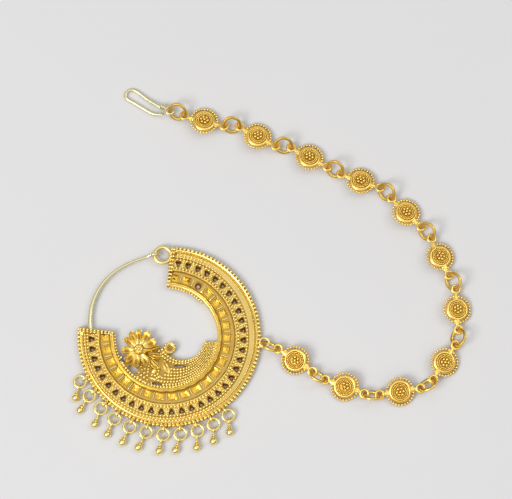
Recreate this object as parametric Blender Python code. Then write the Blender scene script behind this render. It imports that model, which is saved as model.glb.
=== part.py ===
"""Bridal nose ring with hanging drops and a hair chain, lying flat on a surface.

The plate is a pierced crescent. A plain wire closes it, eleven drops hang from its
lower rim, and a chain of eleven medallions ends in a hook for the hair.
Lengths are millimetres until MM turns them into metres. +X is right and +Y is up
as the jewel lies, +Z is up from the surface, and the crescent's outer circle is
centred on the origin until the whole jewel is placed at the end.
"""
import math

import bmesh
import bpy
from mathutils import Matrix, Vector

MM = 0.001
UP = Vector((0.0, 0.0, 1.0))

# Plate: two circles that are not quite concentric, and the angles of its two ends
PLATE_RADIUS = 24.0
OPENING_RADIUS = 13.5
OPENING_CENTRE = Vector((-0.87, -0.24, 0.0))
# The pierced band and the studs lie between the two circles and have centres of their own
BAND_CENTRE = Vector((-0.45, -0.24, 0.0))
STUD_CENTRE = Vector((-0.7, -0.24, 0.0))
PLATE_START = 89.0
PLATE_END = -185.5
PLATE_SEGMENTS = 54

# Plate relief: widths and heights of its bands, from the outer edge inwards
RIM_WIDTH = 0.95
RIM_HEIGHT = 1.75
RIM_SHOULDER = 0.3
CHANNEL_HEIGHT = 1.05
PIERCED_RADIUS = 19.85
PIERCED_WIDTH = 3.0
PIERCED_HEIGHT = 1.3
DIVIDER_RADIUS = 18.0
DIVIDER_WIDTH = 0.6
DIVIDER_HEIGHT = 1.65
STUD_BED_HEIGHT = 1.0
LIP_WIDTH = 0.95
LIP_HEIGHT = 1.85
BAND_STEP = 0.15
END_BAR_ANGLE = 3.4
END_BAR_HEIGHT = 2.0
END_BAR_SLOPE = 0.5

# Triangular holes and square studs that follow the bands
HOLE_COUNT = 35
HOLE_SIZE = 0.72
HOLE_MARGIN = 7.0
STUD_COUNT = 23
STUD_SIZE = 2.25
STUD_TOP = 0.55
STUD_HEIGHT = 2.05
STUD_RADIUS = 15.85
STUD_MARGIN = 6.2
STUD_COUNT_BEFORE_OPEN_SEAT = 2
OPEN_STUD_HOLE = 1.1

# Ornament inside the opening
FLOWER_CENTRE = Vector((-7.85, -3.6, 0.0))
FLOWER_RADIUS = 4.4
FLOWER_PETALS = 10
FLOWER_TURN = 24.0
FLOWER_BASE_RADIUS = 2.3
FLOWER_HEIGHT = 2.6
PETAL_WIDTH = 1.75
PETAL_HEIGHT = 1.0
BOSS_RADIUS = 0.95
BED_THICKNESS = 1.15
BED_CURVE_CENTRE = Vector((3.6, -0.8, 0.0))
BED_CURVE_RADIUS = 5.5
SCROLL_CENTRE = Vector((0.2, -3.1, 0.0))
SCROLL_RADIUS = 1.65
SCROLL_HEIGHT = 2.0
SCROLL_EDGE = 0.4
SCROLL_DIP = 0.5
SCROLL_EYE_RADIUS = 0.6
ROPE_WIRE = 0.36
ROPE_LIFT = 0.05
# Rope lines of the fan: share of the way from the bed's curve to the opening's edge, first angle
ROPES = (
    (0.08, -150),
    (0.43, -126),
    (0.74, -112),
)
SOLDER_LAP = 0.35
THROUGH = 1.0
# Leaves: place, direction, length and width
LEAVES = (
    (-5.8, -4.2, 20, 3.9, 1.5),
    (-5.3, -5.2, -8, 4.0, 1.6),
    (-5.2, -6.4, -42, 3.6, 1.7),
    (-2.3, -6.2, -62, 4.4, 1.9),
)
LEAF_HEIGHT = 0.95
# See-through gaps between the leaves: place, direction, half length and half width
BED_GAPS = (
    (-9.3, -8.9, -38, 1.7, 0.85),
    (-3.2, -12.6, -8, 1.5, 0.4),
    (2.8, -8.0, -3, 1.8, 0.4),
)
GAP_OUTLINE = ((1, 0), (0.4, 1), (-0.5, 0.9), (-1, 0), (-0.4, -1), (0.5, -0.8))

# Rings, wires and lugs; the wire values are radii
CHAIN_RING_RADIUS = 2.15
CHAIN_WIRE = 0.33
EYE_RADIUS = 1.05
EYE_WIRE = 0.3
DROP_RING_RADIUS = 1.55
DROP_RING_WIRE = 0.25
LUG_RADIUS = 0.82
LUG_WIRE = 0.27
LUG_CENTRE_HEIGHT = 1.3
CHAIN_LUG_RADIUS = 1.2
CHAIN_LUG_HEIGHT = 1.5
CHAIN_LUG_ANGLE = -4.0
RING_SIDES = 12
SMALL_RING_SIDES = 10
EYE_SIDES = 10
WIRE_SIDES = 5

# Drops along the lower rim
DROP_COUNT = 11
DROP_FIRST_ANGLE = 207.5
DROP_STEP = 9.89
DROP_EYE_RADIUS = 0.68
DROP_EYE_WIRE = 0.23
DROP_AXIS_HEIGHT = 0.97
NECK_RADIUS = 0.3
CAP_RADIUS = 0.78
CAP_LENGTH = 0.95
BALL_RADIUS = 0.95
BALL_DISTANCE = 3.1
DROP_SIDES = 10
DROP_HEADINGS = (255, 238, 250, 246, 246, 244, 256, 254, 268, 270, 275)

# Nose wire and the end ring that it hooks over; the wire values are radii
END_RING_SEAT = 21.6
END_RING_RADIUS = 2.15
END_RING_WIRE = 0.4
END_RING_HEIGHT = 1.4
NOSE_ARC_CENTRE = Vector((-4.38, 4.25, 0.0))
NOSE_ARC_RADIUS = 16.3
NOSE_ROOT_HEIGHT = 1.0
NOSE_ROOT_SEAT = 20.6
NOSE_ROOT_WIRE = 0.6
NOSE_TIP_WIRE = 0.36
SOCKET_CLEARANCE = 0.15
SOCKET_DEPTH = 2.4
HOOK_CLEARANCE = 0.15
NOSE_ARC_END = 95.5
NOSE_ARC_STEPS = 16
HOOK_TURN = (150, 110, 70, 30, -10, -50, -80)

# Medallions
MEDALLION_RADIUS = 3.55
MEDALLION_SIDES = 12
MEDALLION_BACK = 0.35
MEDALLION_RIM = 0.15
MEDALLION_DOME = 1.2
EYE_DISTANCE = 5.4
EYE_NECK_WIDTH = 1.0
CHAIN_HEIGHT = 1.5
MEDALLION_ROLL = 15.0

# Route of the chain from the plate to the hook, a row for each ring and what it leads to:
# ring heading, ring lean, ring span between the two eyes, heading of the next piece
CHAIN_ROUTE = (
    (-25, 58, 3.95, -34),
    (-33, 55, 3.95, -20),
    (-4, 55, 3.95, 9),
    (35, 50, 4.10, 57),
    (79, 42, 4.20, 93),
    (115, 42, 4.20, 114),
    (131, 42, 4.20, 135),
    (136, 42, 4.20, 160),
    (152, 42, 4.20, 151),
    (174, 42, 4.20, 151),
    (177, 42, 4.20, 165),
    (160, 42, 4.20, 154),
)

# Hair hook; its path is a table of shares of its length, its width and its drop to the surface
HOOK_LENGTH = 12.6
HOOK_WIDTH = 2.5
HOOK_WIRE = 0.4
HOOK_COLLAR_RADIUS = 0.8
HOOK_COLLAR_START = 1.25
HOOK_COLLAR_LENGTH = 1.5
HOOK_PATH = (
    (0.08, 0.00, 1.00),
    (0.22, 0.08, 0.80),
    (0.55, -0.15, 0.12),
    (0.80, -0.42, 0.00),
    (0.95, -0.30, 0.00),
    (1.00, 0.25, 0.00),
    (0.93, 0.72, 0.00),
    (0.70, 0.84, 0.00),
    (0.32, 1.02, 0.10),
    (0.11, 0.72, 0.34),
)

GOLD = (0.83, 0.55, 0.13, 1.0)
CHAIN_GOLD = (0.82, 0.50, 0.12, 1.0)
PALE_GOLD = (0.74, 0.66, 0.38, 1.0)


def clear_scene():
    for item in list(bpy.data.objects):
        bpy.data.objects.remove(item, do_unlink=True)


def make_material(name, color, roughness):
    material = bpy.data.materials.new(name)
    material.use_nodes = True
    shader = material.node_tree.nodes["Principled BSDF"]
    shader.inputs["Base Color"].default_value = color
    shader.inputs["Roughness"].default_value = roughness
    shader.inputs["Metallic"].default_value = 1.0
    material.diffuse_color = color
    return material


def polar(radius, angle, centre=Vector((0.0, 0.0, 0.0)), height=0.0):
    """A point at an angle in degrees round a centre."""
    turn = math.radians(angle)
    return centre + Vector((radius * math.cos(turn), radius * math.sin(turn), height))


def heading(angle):
    return polar(1.0, angle)


def place(bm, matrix):
    bmesh.ops.transform(bm, matrix=matrix, verts=bm.verts)


def frame(origin, across, along, normal):
    """A matrix whose columns are the three directions and whose place is the origin."""
    matrix = Matrix.Identity(4)
    for column, axis in enumerate((across, along, normal)):
        matrix.col[column][:3] = axis
    matrix.col[3][:3] = origin
    return matrix


def to_object(name, bm, material=None):
    """Turns a bmesh in millimetres into an object in metres."""
    bmesh.ops.remove_doubles(bm, verts=bm.verts, dist=1e-5)
    bmesh.ops.recalc_face_normals(bm, faces=bm.faces)
    place(bm, Matrix.Scale(MM, 4))
    mesh = bpy.data.meshes.new(name)
    bm.to_mesh(mesh)
    bm.free()
    mesh.shade_smooth()
    mesh.set_sharp_from_angle(angle=math.radians(35))
    item = bpy.data.objects.new(name, mesh)
    bpy.context.collection.objects.link(item)
    if material:
        mesh.materials.append(material)
    return item


def guide(name, bm):
    """An object that only takes part in a Boolean."""
    item = to_object(name, bm)
    item.hide_render = True
    item.display_type = "WIRE"
    return item


def combine(item, other, operation, overlapping=False):
    modifier = item.modifiers.new(other.name, "BOOLEAN")
    modifier.operation = operation
    modifier.solver = "EXACT"
    modifier.use_self = overlapping
    modifier.object = other


def merge_into(bm, piece):
    """Adds one bmesh to another as a body of its own."""
    mesh = bpy.data.meshes.new("part")
    piece.to_mesh(mesh)
    piece.free()
    bm.from_mesh(mesh)
    bpy.data.meshes.remove(mesh)


def lathe(profile, sides):
    """Spins (radius, height) points once round Z; the first and the last lie on the axis."""
    bm = bmesh.new()
    verts = [bm.verts.new((radius, 0.0, height)) for radius, height in profile]
    edges = [bm.edges.new(pair) for pair in zip(verts, verts[1:])]
    bmesh.ops.spin(bm, geom=verts + edges, cent=(0, 0, 0), axis=UP,
                   angle=math.tau, steps=sides, use_merge=True)
    bmesh.ops.remove_doubles(bm, verts=bm.verts, dist=1e-5)
    bmesh.ops.recalc_face_normals(bm, faces=bm.faces)
    return bm


def ring(radius, wire, sides, wire_sides=WIRE_SIDES):
    """A closed wire ring round Z."""
    bm = bmesh.new()
    section = bmesh.ops.create_circle(bm, segments=wire_sides, radius=wire)["verts"]
    turn = Matrix.Translation((radius, 0, 0)) @ Matrix.Rotation(math.pi / 2, 4, "X")
    bmesh.ops.transform(bm, matrix=turn, verts=section)
    bmesh.ops.spin(bm, geom=bm.verts[:] + bm.edges[:], cent=(0, 0, 0), axis=UP,
                   angle=math.tau, steps=sides, use_merge=True)
    bmesh.ops.remove_doubles(bm, verts=bm.verts, dist=1e-5)
    bmesh.ops.recalc_face_normals(bm, faces=bm.faces)
    return bm


def prism(outline, low, high):
    """An outline of points raised from one height to another."""
    bm = bmesh.new()
    face = bm.faces.new([bm.verts.new((x, y, low)) for x, y in outline])
    raised = bmesh.ops.extrude_face_region(bm, geom=[face])["geom"]
    verts = [item for item in raised if isinstance(item, bmesh.types.BMVert)]
    bmesh.ops.translate(bm, vec=(0, 0, high - low), verts=verts)
    bmesh.ops.recalc_face_normals(bm, faces=bm.faces)
    return bm


def frustum(size, top, low, high):
    """A square stud with a small flat top."""
    bm = bmesh.new()
    matrix = Matrix.Translation((0, 0, (low + high) / 2)) @ Matrix.Rotation(math.pi / 4, 4, "Z")
    bmesh.ops.create_cone(bm, cap_ends=True, segments=4, radius1=size / math.sqrt(2),
                          radius2=top / math.sqrt(2), depth=high - low, matrix=matrix)
    return bm


def tube(points, radii, sides):
    """A wire through the points, with a radius at each and filled ends."""
    curve = bpy.data.curves.new("wire", "CURVE")
    curve.dimensions = "3D"
    curve.bevel_depth = 1.0
    curve.bevel_resolution = (sides - 4) // 2
    curve.use_fill_caps = True
    spline = curve.splines.new("POLY")
    spline.points.add(len(points) - 1)
    for knot, point, radius in zip(spline.points, points, radii):
        knot.co = (*point, 1.0)
        knot.radius = radius
    item = bpy.data.objects.new("wire", curve)
    bpy.context.collection.objects.link(item)
    depsgraph = bpy.context.evaluated_depsgraph_get()
    mesh = bpy.data.meshes.new_from_object(item.evaluated_get(depsgraph))
    bpy.data.objects.remove(item, do_unlink=True)
    bpy.data.curves.remove(curve)
    bm = bmesh.new()
    bm.from_mesh(mesh)
    bpy.data.meshes.remove(mesh)
    bmesh.ops.remove_doubles(bm, verts=bm.verts, dist=1e-5)
    bmesh.ops.recalc_face_normals(bm, faces=bm.faces)
    return bm


def smooth_path(points, steps):
    """Catmull-Rom points between the given ones."""
    ends = [points[0] * 2 - points[1]] + list(points) + [points[-1] * 2 - points[-2]]
    path = []
    for before, first, second, after in zip(ends, ends[1:], ends[2:], ends[3:]):
        for step in range(steps):
            t = step / steps
            path.append(0.5 * (2 * first + (second - before) * t
                               + (2 * before - 5 * first + 4 * second - after) * t ** 2
                               + (3 * first - before - 3 * second + after) * t ** 3))
    path.append(points[-1])
    return path


def plate_section():
    """Band edges from the outer wall inwards: radius, height and centre."""
    rim = PLATE_RADIUS - RIM_WIDTH
    outer_band = PIERCED_RADIUS + PIERCED_WIDTH / 2
    divider_out = DIVIDER_RADIUS + DIVIDER_WIDTH / 2
    divider_in = DIVIDER_RADIUS - DIVIDER_WIDTH / 2
    lip = OPENING_RADIUS + LIP_WIDTH
    outer = Vector()
    return (
        (PLATE_RADIUS, 0.0, outer),
        (PLATE_RADIUS, RIM_HEIGHT - RIM_SHOULDER, outer),
        (PLATE_RADIUS - RIM_WIDTH / 2, RIM_HEIGHT, outer),
        (rim, CHANNEL_HEIGHT, outer),
        (outer_band, CHANNEL_HEIGHT, BAND_CENTRE),
        (outer_band - BAND_STEP, PIERCED_HEIGHT, BAND_CENTRE),
        (divider_out, PIERCED_HEIGHT, BAND_CENTRE),
        (DIVIDER_RADIUS, DIVIDER_HEIGHT, BAND_CENTRE),
        (divider_in, STUD_BED_HEIGHT, BAND_CENTRE),
        (lip, STUD_BED_HEIGHT, OPENING_CENTRE),
        (OPENING_RADIUS + LIP_WIDTH / 2, LIP_HEIGHT, OPENING_CENTRE),
        (OPENING_RADIUS, LIP_HEIGHT - RIM_SHOULDER, OPENING_CENTRE),
        (OPENING_RADIUS, 0.0, OPENING_CENTRE),
    )


def sweep_angles():
    """Angles of the plate's sections, with a raised bar across each end."""
    bar = END_BAR_ANGLE
    step = END_BAR_ANGLE + END_BAR_SLOPE
    first = PLATE_START - step
    last = PLATE_END + step
    middle = [first + (last - first) * index / PLATE_SEGMENTS for index in range(PLATE_SEGMENTS + 1)]
    ends = (PLATE_START, PLATE_START - bar, PLATE_END + bar, PLATE_END)
    return [(ends[0], True), (ends[1], True)] + [(angle, False) for angle in middle] + [
        (ends[2], True), (ends[3], True)]


def build_plate_body():
    """Sweeps the band section from one end of the crescent to the other."""
    bm = bmesh.new()
    section = plate_section()
    loops = []
    for angle, barred in sweep_angles():
        loop = []
        for radius, height, centre in section:
            raised = max(height, END_BAR_HEIGHT) if barred and height > 0 else height
            loop.append(bm.verts.new(polar(radius, angle, centre, raised)))
        loops.append(loop)
    for first, second in zip(loops, loops[1:]):
        for index in range(len(section)):
            after = (index + 1) % len(section)
            bm.faces.new((first[index], first[after], second[after], second[index]))
    for loop in (loops[0], loops[-1]):
        for first, second in zip(loop[:-2], loop[1:-1]):
            bm.faces.new((loop[-1], first, second))
    bmesh.ops.recalc_face_normals(bm, faces=bm.faces)
    return bm


def band_angles(count, margin):
    first = PLATE_START - margin
    last = PLATE_END + margin
    return [first + (last - first) * index / (count - 1) for index in range(count)]


def studs():
    bm = bmesh.new()
    for index, angle in enumerate(band_angles(STUD_COUNT, STUD_MARGIN)):
        if index == STUD_COUNT_BEFORE_OPEN_SEAT:
            continue
        stud = frustum(STUD_SIZE, STUD_TOP, STUD_BED_HEIGHT / 2, STUD_HEIGHT)
        seat = polar(STUD_RADIUS, angle, STUD_CENTRE)
        place(stud, Matrix.Translation(seat) @ Matrix.Rotation(math.radians(angle), 4, "Z"))
        merge_into(bm, stud)
    return bm


def pierced_holes():
    """Triangles through the band, each pointing to the centre, and the open stud seat."""
    bm = bmesh.new()
    for angle in band_angles(HOLE_COUNT, HOLE_MARGIN):
        centre = polar(PIERCED_RADIUS, angle, BAND_CENTRE)
        outline = [polar(HOLE_SIZE, angle + 180 + corner, centre).xy for corner in (0, 120, 240)]
        merge_into(bm, prism(outline, -THROUGH, PIERCED_HEIGHT + THROUGH))
    angle = band_angles(STUD_COUNT, STUD_MARGIN)[STUD_COUNT_BEFORE_OPEN_SEAT]
    centre = polar(STUD_RADIUS, angle, STUD_CENTRE)
    outline = [polar(OPEN_STUD_HOLE / 2, angle + corner, centre).xy for corner in range(0, 360, 60)]
    merge_into(bm, prism(outline, -THROUGH, STUD_BED_HEIGHT + THROUGH))
    return bm


def drop_angle(index):
    return DROP_FIRST_ANGLE + DROP_STEP * index


def lug_reach(radius, wire):
    """Distance of a lug's centre from the plate's, so that its wire laps into the rim."""
    return PLATE_RADIUS + radius + wire - SOLDER_LAP - wire


def lugs():
    """Upright loops for the drops and a flat loop for the chain."""
    bm = bmesh.new()
    reach = lug_reach(LUG_RADIUS, LUG_WIRE)
    for index in range(DROP_COUNT):
        angle = drop_angle(index)
        out = heading(angle)
        loop = ring(LUG_RADIUS, LUG_WIRE, EYE_SIDES)
        place(loop, frame(out * reach + UP * LUG_CENTRE_HEIGHT, out, UP, out.cross(UP)))
        merge_into(bm, loop)
    loop = ring(CHAIN_LUG_RADIUS, EYE_WIRE, EYE_SIDES)
    place(loop, Matrix.Translation(chain_start()))
    merge_into(bm, loop)
    loop = ring(END_RING_RADIUS, END_RING_WIRE, RING_SIDES)
    place(loop, Matrix.Translation(end_ring_centre() + UP * END_RING_HEIGHT))
    merge_into(bm, loop)
    return bm


def end_ring_centre():
    """The end ring sits against the end face of the plate."""
    reach = END_RING_RADIUS + END_RING_WIRE - SOLDER_LAP
    return polar(END_RING_SEAT, PLATE_START) + heading(PLATE_START + 90) * reach


def chain_start():
    reach = lug_reach(CHAIN_LUG_RADIUS, EYE_WIRE)
    return polar(reach, CHAIN_LUG_ANGLE, height=CHAIN_LUG_HEIGHT)


def bed_outline():
    """The ornament's bed: along the opening's edge, then back round the inner curve."""
    lap = OPENING_RADIUS + SOLDER_LAP
    outer = [polar(lap, angle, OPENING_CENTRE) for angle in range(-6, -160, -9)]
    inner = [polar(BED_CURVE_RADIUS, angle, BED_CURVE_CENTRE) for angle in range(-150, 0, 16)]
    flower = [polar(FLOWER_RADIUS * 0.62, angle, FLOWER_CENTRE) for angle in (220, 300, 350)]
    scroll = [polar(SCROLL_RADIUS, angle, SCROLL_CENTRE) for angle in (200, 250)]
    return [point.xy for point in outer + flower + scroll + inner]


def bed_gaps():
    """See-through gaps between the leaves."""
    bm = bmesh.new()
    for x, y, turn, length, width in BED_GAPS:
        along = heading(turn) * length
        across = heading(turn + 90) * width
        centre = Vector((x, y, 0))
        outline = [(centre + along * u + across * v).xy for u, v in GAP_OUTLINE]
        merge_into(bm, prism(outline, -THROUGH, FLOWER_HEIGHT + THROUGH))
    return bm


def leaf(root, direction, length, width, low, high):
    """A folded leaf: a kite outline with a raised middle vein."""
    bm = bmesh.new()
    along = heading(direction)
    across = heading(direction + 90)
    low_up = UP * low
    corners = [root + low_up, root + along * length * 0.6 + across * width / 2 + low_up,
               root + along * length + low_up, root + along * length * 0.6 - across * width / 2 + low_up]
    verts = [bm.verts.new(corner) for corner in corners]
    peak = bm.verts.new(root + along * length * 0.62 + UP * high)
    bm.faces.new(verts)
    for first, second in zip(verts, verts[1:] + verts[:1]):
        bm.faces.new((first, second, peak))
    bmesh.ops.recalc_face_normals(bm, faces=bm.faces)
    return bm


def ornament():
    """Bed, flower, scroll, leaves and the fan of rope lines, overlapping one another."""
    bm = prism(bed_outline(), 0.0, BED_THICKNESS)
    base = lathe(((0, 0.2), (FLOWER_BASE_RADIUS, 0.2), (FLOWER_BASE_RADIUS, BED_THICKNESS),
                  (BOSS_RADIUS, BED_THICKNESS + PETAL_HEIGHT / 2), (BOSS_RADIUS, FLOWER_HEIGHT - 0.35),
                  (BOSS_RADIUS / 2, FLOWER_HEIGHT), (0, FLOWER_HEIGHT)), DROP_SIDES)
    place(base, Matrix.Translation(FLOWER_CENTRE))
    merge_into(bm, base)
    for index in range(FLOWER_PETALS):
        turn = 360 / FLOWER_PETALS * index + FLOWER_TURN
        root = polar(BOSS_RADIUS * 0.6, turn, FLOWER_CENTRE)
        petal = leaf(root, turn, FLOWER_RADIUS - BOSS_RADIUS * 0.6, PETAL_WIDTH,
                     BED_THICKNESS - 0.35, BED_THICKNESS + PETAL_HEIGHT)
        merge_into(bm, petal)
    scroll = lathe(((0, 0.15), (SCROLL_RADIUS, 0.15), (SCROLL_RADIUS, SCROLL_HEIGHT - SCROLL_EDGE),
                    (SCROLL_RADIUS - SCROLL_EDGE, SCROLL_HEIGHT),
                    (SCROLL_EYE_RADIUS, SCROLL_HEIGHT - SCROLL_DIP),
                    (0, SCROLL_HEIGHT + 0.1)), DROP_SIDES)
    place(scroll, Matrix.Translation(SCROLL_CENTRE))
    merge_into(bm, scroll)
    for x, y, turn, length, width in LEAVES:
        root = Vector((x, y, 0))
        merge_into(bm, leaf(root, turn, length, width, BED_THICKNESS / 2, BED_THICKNESS + LEAF_HEIGHT))
    for share, first_angle in ROPES:
        merge_into(bm, rope_line(share, first_angle))
    return bm


def rope_line(share, first_angle):
    """One raised line of the fan, kept inside the opening's lip."""
    centre = BED_CURVE_CENTRE.lerp(OPENING_CENTRE, share)
    radius = BED_CURVE_RADIUS + (OPENING_RADIUS - BED_CURVE_RADIUS) * share
    points = []
    for angle in range(first_angle, -4, 14):
        point = polar(radius, angle, centre, BED_THICKNESS + ROPE_LIFT)
        if (point.xy - OPENING_CENTRE.xy).length < OPENING_RADIUS - ROPE_WIRE:
            points.append(point)
    return tube(points, [ROPE_WIRE] * len(points), 6)


def nose_root_angle():
    """Where the nose wire's arc meets the end of the plate."""
    end = polar(NOSE_ROOT_SEAT, PLATE_END)
    offset = end - NOSE_ARC_CENTRE
    return math.degrees(math.atan2(offset.y, offset.x)) % 360


def nose_arc(angle, height):
    return polar(NOSE_ARC_RADIUS, angle, NOSE_ARC_CENTRE, height)


def socket():
    """The bore in the end of the plate that takes the nose wire."""
    root = nose_root_angle()
    sweep = math.degrees(SOCKET_DEPTH / NOSE_ARC_RADIUS)
    points = [nose_arc(root + sweep * share, NOSE_ROOT_HEIGHT) for share in (1.0, 0.5, 0.0, -1.0)]
    return tube(points, [NOSE_ROOT_WIRE + SOCKET_CLEARANCE] * len(points), 8)


def build_plate(material):
    plate = to_object("plate", build_plate_body(), material)
    combine(plate, guide("ornament", ornament()), "UNION", overlapping=True)
    combine(plate, guide("studs", studs()), "UNION")
    combine(plate, guide("lugs", lugs()), "UNION")
    combine(plate, guide("holes", pierced_holes()), "DIFFERENCE")
    combine(plate, guide("gaps", bed_gaps()), "DIFFERENCE")
    combine(plate, guide("socket", socket()), "DIFFERENCE")
    return plate


def build_nose_wire(material):
    """Tapered wire from the socket to a hook over the end ring."""
    root = nose_root_angle() + math.degrees((SOCKET_DEPTH - SOCKET_CLEARANCE) / NOSE_ARC_RADIUS)
    wrap = END_RING_WIRE + NOSE_TIP_WIRE + HOOK_CLEARANCE
    ring_side = end_ring_centre() + Vector((-END_RING_RADIUS, 0, END_RING_HEIGHT))
    turned = [ring_side + Vector((wrap * math.cos(math.radians(angle)), 0,
                                  wrap * math.sin(math.radians(angle))))
              for angle in HOOK_TURN]
    points = []
    for step in range(NOSE_ARC_STEPS + 1):
        share = step / NOSE_ARC_STEPS
        height = NOSE_ROOT_HEIGHT + (END_RING_HEIGHT - NOSE_ROOT_HEIGHT) * share
        points.append(nose_arc(root + (NOSE_ARC_END - root) * share, height))
    points += turned
    taper = NOSE_TIP_WIRE - NOSE_ROOT_WIRE
    radii = [NOSE_ROOT_WIRE + taper * min(1.0, index / NOSE_ARC_STEPS) for index in range(len(points))]
    return to_object("nose_wire", tube(points, radii, 6), material)


def build_drops(material):
    """Eleven rings through the rim's lugs, each with its drop."""
    reach = lug_reach(LUG_RADIUS, LUG_WIRE) + DROP_RING_RADIUS
    for index, turn in enumerate(DROP_HEADINGS):
        out = heading(drop_angle(index))
        hang = heading(turn)
        fall = (LUG_CENTRE_HEIGHT - DROP_AXIS_HEIGHT) / (DROP_RING_RADIUS * (1 + out.dot(hang)))
        normal = (UP + out * fall).normalized()
        along = (out - normal * out.dot(normal)).normalized()
        height = LUG_CENTRE_HEIGHT - fall * DROP_RING_RADIUS
        loop = ring(DROP_RING_RADIUS, DROP_RING_WIRE, SMALL_RING_SIDES)
        centre = out * reach + UP * height
        place(loop, frame(centre, along, normal.cross(along), normal))
        to_object(f"drop_ring_{index + 1:02d}", loop, material)
        eye = centre + hang * DROP_RING_RADIUS
        eye.z = DROP_AXIS_HEIGHT
        build_drop(f"drop_{index + 1:02d}", eye, hang, material)


def drop_profile():
    """Neck, bell cap and ball along the drop's axis, starting in the eye's wire."""
    start = DROP_EYE_RADIUS
    cap_end = BALL_DISTANCE - BALL_RADIUS * 0.62
    cap_start = cap_end - CAP_LENGTH
    profile = [(0, start), (NECK_RADIUS, start), (NECK_RADIUS, cap_start), (CAP_RADIUS, cap_end)]
    profile += [(BALL_RADIUS * math.sin(math.radians(angle)),
                 BALL_DISTANCE - BALL_RADIUS * math.cos(math.radians(angle)))
                for angle in (62, 100, 140)]
    profile.append((0, BALL_DISTANCE + BALL_RADIUS))
    return profile


def build_drop(name, eye, hang, material):
    body = lathe(drop_profile(), DROP_SIDES)
    side = hang.cross(UP)
    place(body, frame(eye, UP, side * -1, hang))
    drop = to_object(name, body, material)
    loop = ring(DROP_EYE_RADIUS, DROP_EYE_WIRE, EYE_SIDES)
    place(loop, frame(eye, hang, UP, side))
    combine(drop, guide(f"{name}_eye", loop), "UNION")
    return drop


def medallion_profile():
    radius = MEDALLION_RADIUS
    return ((0, -MEDALLION_BACK), (radius, -MEDALLION_BACK), (radius, MEDALLION_RIM),
            (radius * 0.64, MEDALLION_RIM + 0.4), (radius * 0.38, MEDALLION_RIM + 0.45),
            (radius * 0.22, MEDALLION_DOME), (0, MEDALLION_DOME))


def medallion_mesh():
    """One medallion with its chain axis along X."""
    item = to_object("medallion", lathe(medallion_profile(), MEDALLION_SIDES))
    eyes = bmesh.new()
    for side in (-1, 1):
        loop = ring(EYE_RADIUS, EYE_WIRE, EYE_SIDES)
        place(loop, Matrix.Translation((side * EYE_DISTANCE, 0, 0)))
        merge_into(eyes, loop)
        near = side * (MEDALLION_RADIUS - 0.3)
        far = side * (EYE_DISTANCE - EYE_RADIUS)
        width = EYE_NECK_WIDTH / 2
        outline = ((near, -width), (far, -width), (far, width), (near, width))
        merge_into(eyes, prism(outline, -EYE_WIRE * 0.8, EYE_WIRE * 0.8))
    combine(item, guide("eyes", eyes), "UNION", overlapping=True)
    depsgraph = bpy.context.evaluated_depsgraph_get()
    mesh = bpy.data.meshes.new_from_object(item.evaluated_get(depsgraph))
    bpy.data.objects.remove(item, do_unlink=True)
    return mesh


def rolled(direction):
    """Directions along and across a rolled chain piece, and its normal."""
    roll = math.radians(MEDALLION_ROLL)
    right = direction.cross(UP)
    across = right * math.cos(roll) - UP * math.sin(roll)
    return direction, across * -1, direction.cross(across * -1)


def leaning_ring(name, first, second, lean, material):
    """A jump ring through two eyes, leaning out over the right of the chain."""
    chord = second - first
    span = chord.length
    chord.normalize()
    right = chord.cross(UP).normalized()
    upward = right.cross(chord)
    rise = right * math.cos(math.radians(lean)) + upward * math.sin(math.radians(lean))
    centre = (first + second) / 2 + rise * math.sqrt(CHAIN_RING_RADIUS ** 2 - (span / 2) ** 2)
    loop = ring(CHAIN_RING_RADIUS, CHAIN_WIRE, RING_SIDES)
    place(loop, frame(centre, chord, rise, chord.cross(rise)))
    return to_object(name, loop, material)


def build_chain(gold, pale):
    mesh = medallion_mesh()
    mesh.materials.clear()
    mesh.materials.append(gold)
    eye = chain_start()
    for index, (ring_heading, lean, span, next_heading) in enumerate(CHAIN_ROUTE):
        reached = eye + heading(ring_heading) * span
        reached.z = CHAIN_HEIGHT
        leaning_ring(f"chain_ring_{index + 1:02d}", eye, reached, lean, gold)
        direction = heading(next_heading)
        if index == len(CHAIN_ROUTE) - 1:
            build_hook(reached, direction, pale)
            break
        centre = reached + direction * EYE_DISTANCE
        item = bpy.data.objects.new(f"medallion_{index + 1:02d}", mesh)
        bpy.context.collection.objects.link(item)
        item.matrix_world = frame(centre * MM, *rolled(direction))
        eye = centre + direction * EYE_DISTANCE


def build_hook(eye, direction, material):
    """The hair hook: an eye, a collar and a bent wire lying on the surface."""
    across = direction.cross(UP) * -1
    floor = HOOK_WIRE + 0.02
    knots = [eye + direction * HOOK_LENGTH * along + across * HOOK_WIDTH * side
             + UP * ((floor - eye.z) * (1 - height)) for along, side, height in HOOK_PATH]
    points = smooth_path(knots, 2)
    hook = to_object("hair_hook", tube(points, [HOOK_WIRE] * len(points), 6), material)
    loop = ring(EYE_RADIUS, EYE_WIRE, EYE_SIDES)
    place(loop, frame(eye, *rolled(direction)))
    combine(hook, guide("hook_eye", loop), "UNION")
    collar_end = HOOK_COLLAR_START + HOOK_COLLAR_LENGTH
    collar = lathe(((0, HOOK_COLLAR_START), (HOOK_COLLAR_RADIUS, HOOK_COLLAR_START),
                    (HOOK_COLLAR_RADIUS, collar_end), (0, collar_end)), DROP_SIDES)
    place(collar, frame(eye, across, UP, direction))
    combine(hook, guide("hook_collar", collar), "UNION")
    return hook


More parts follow.
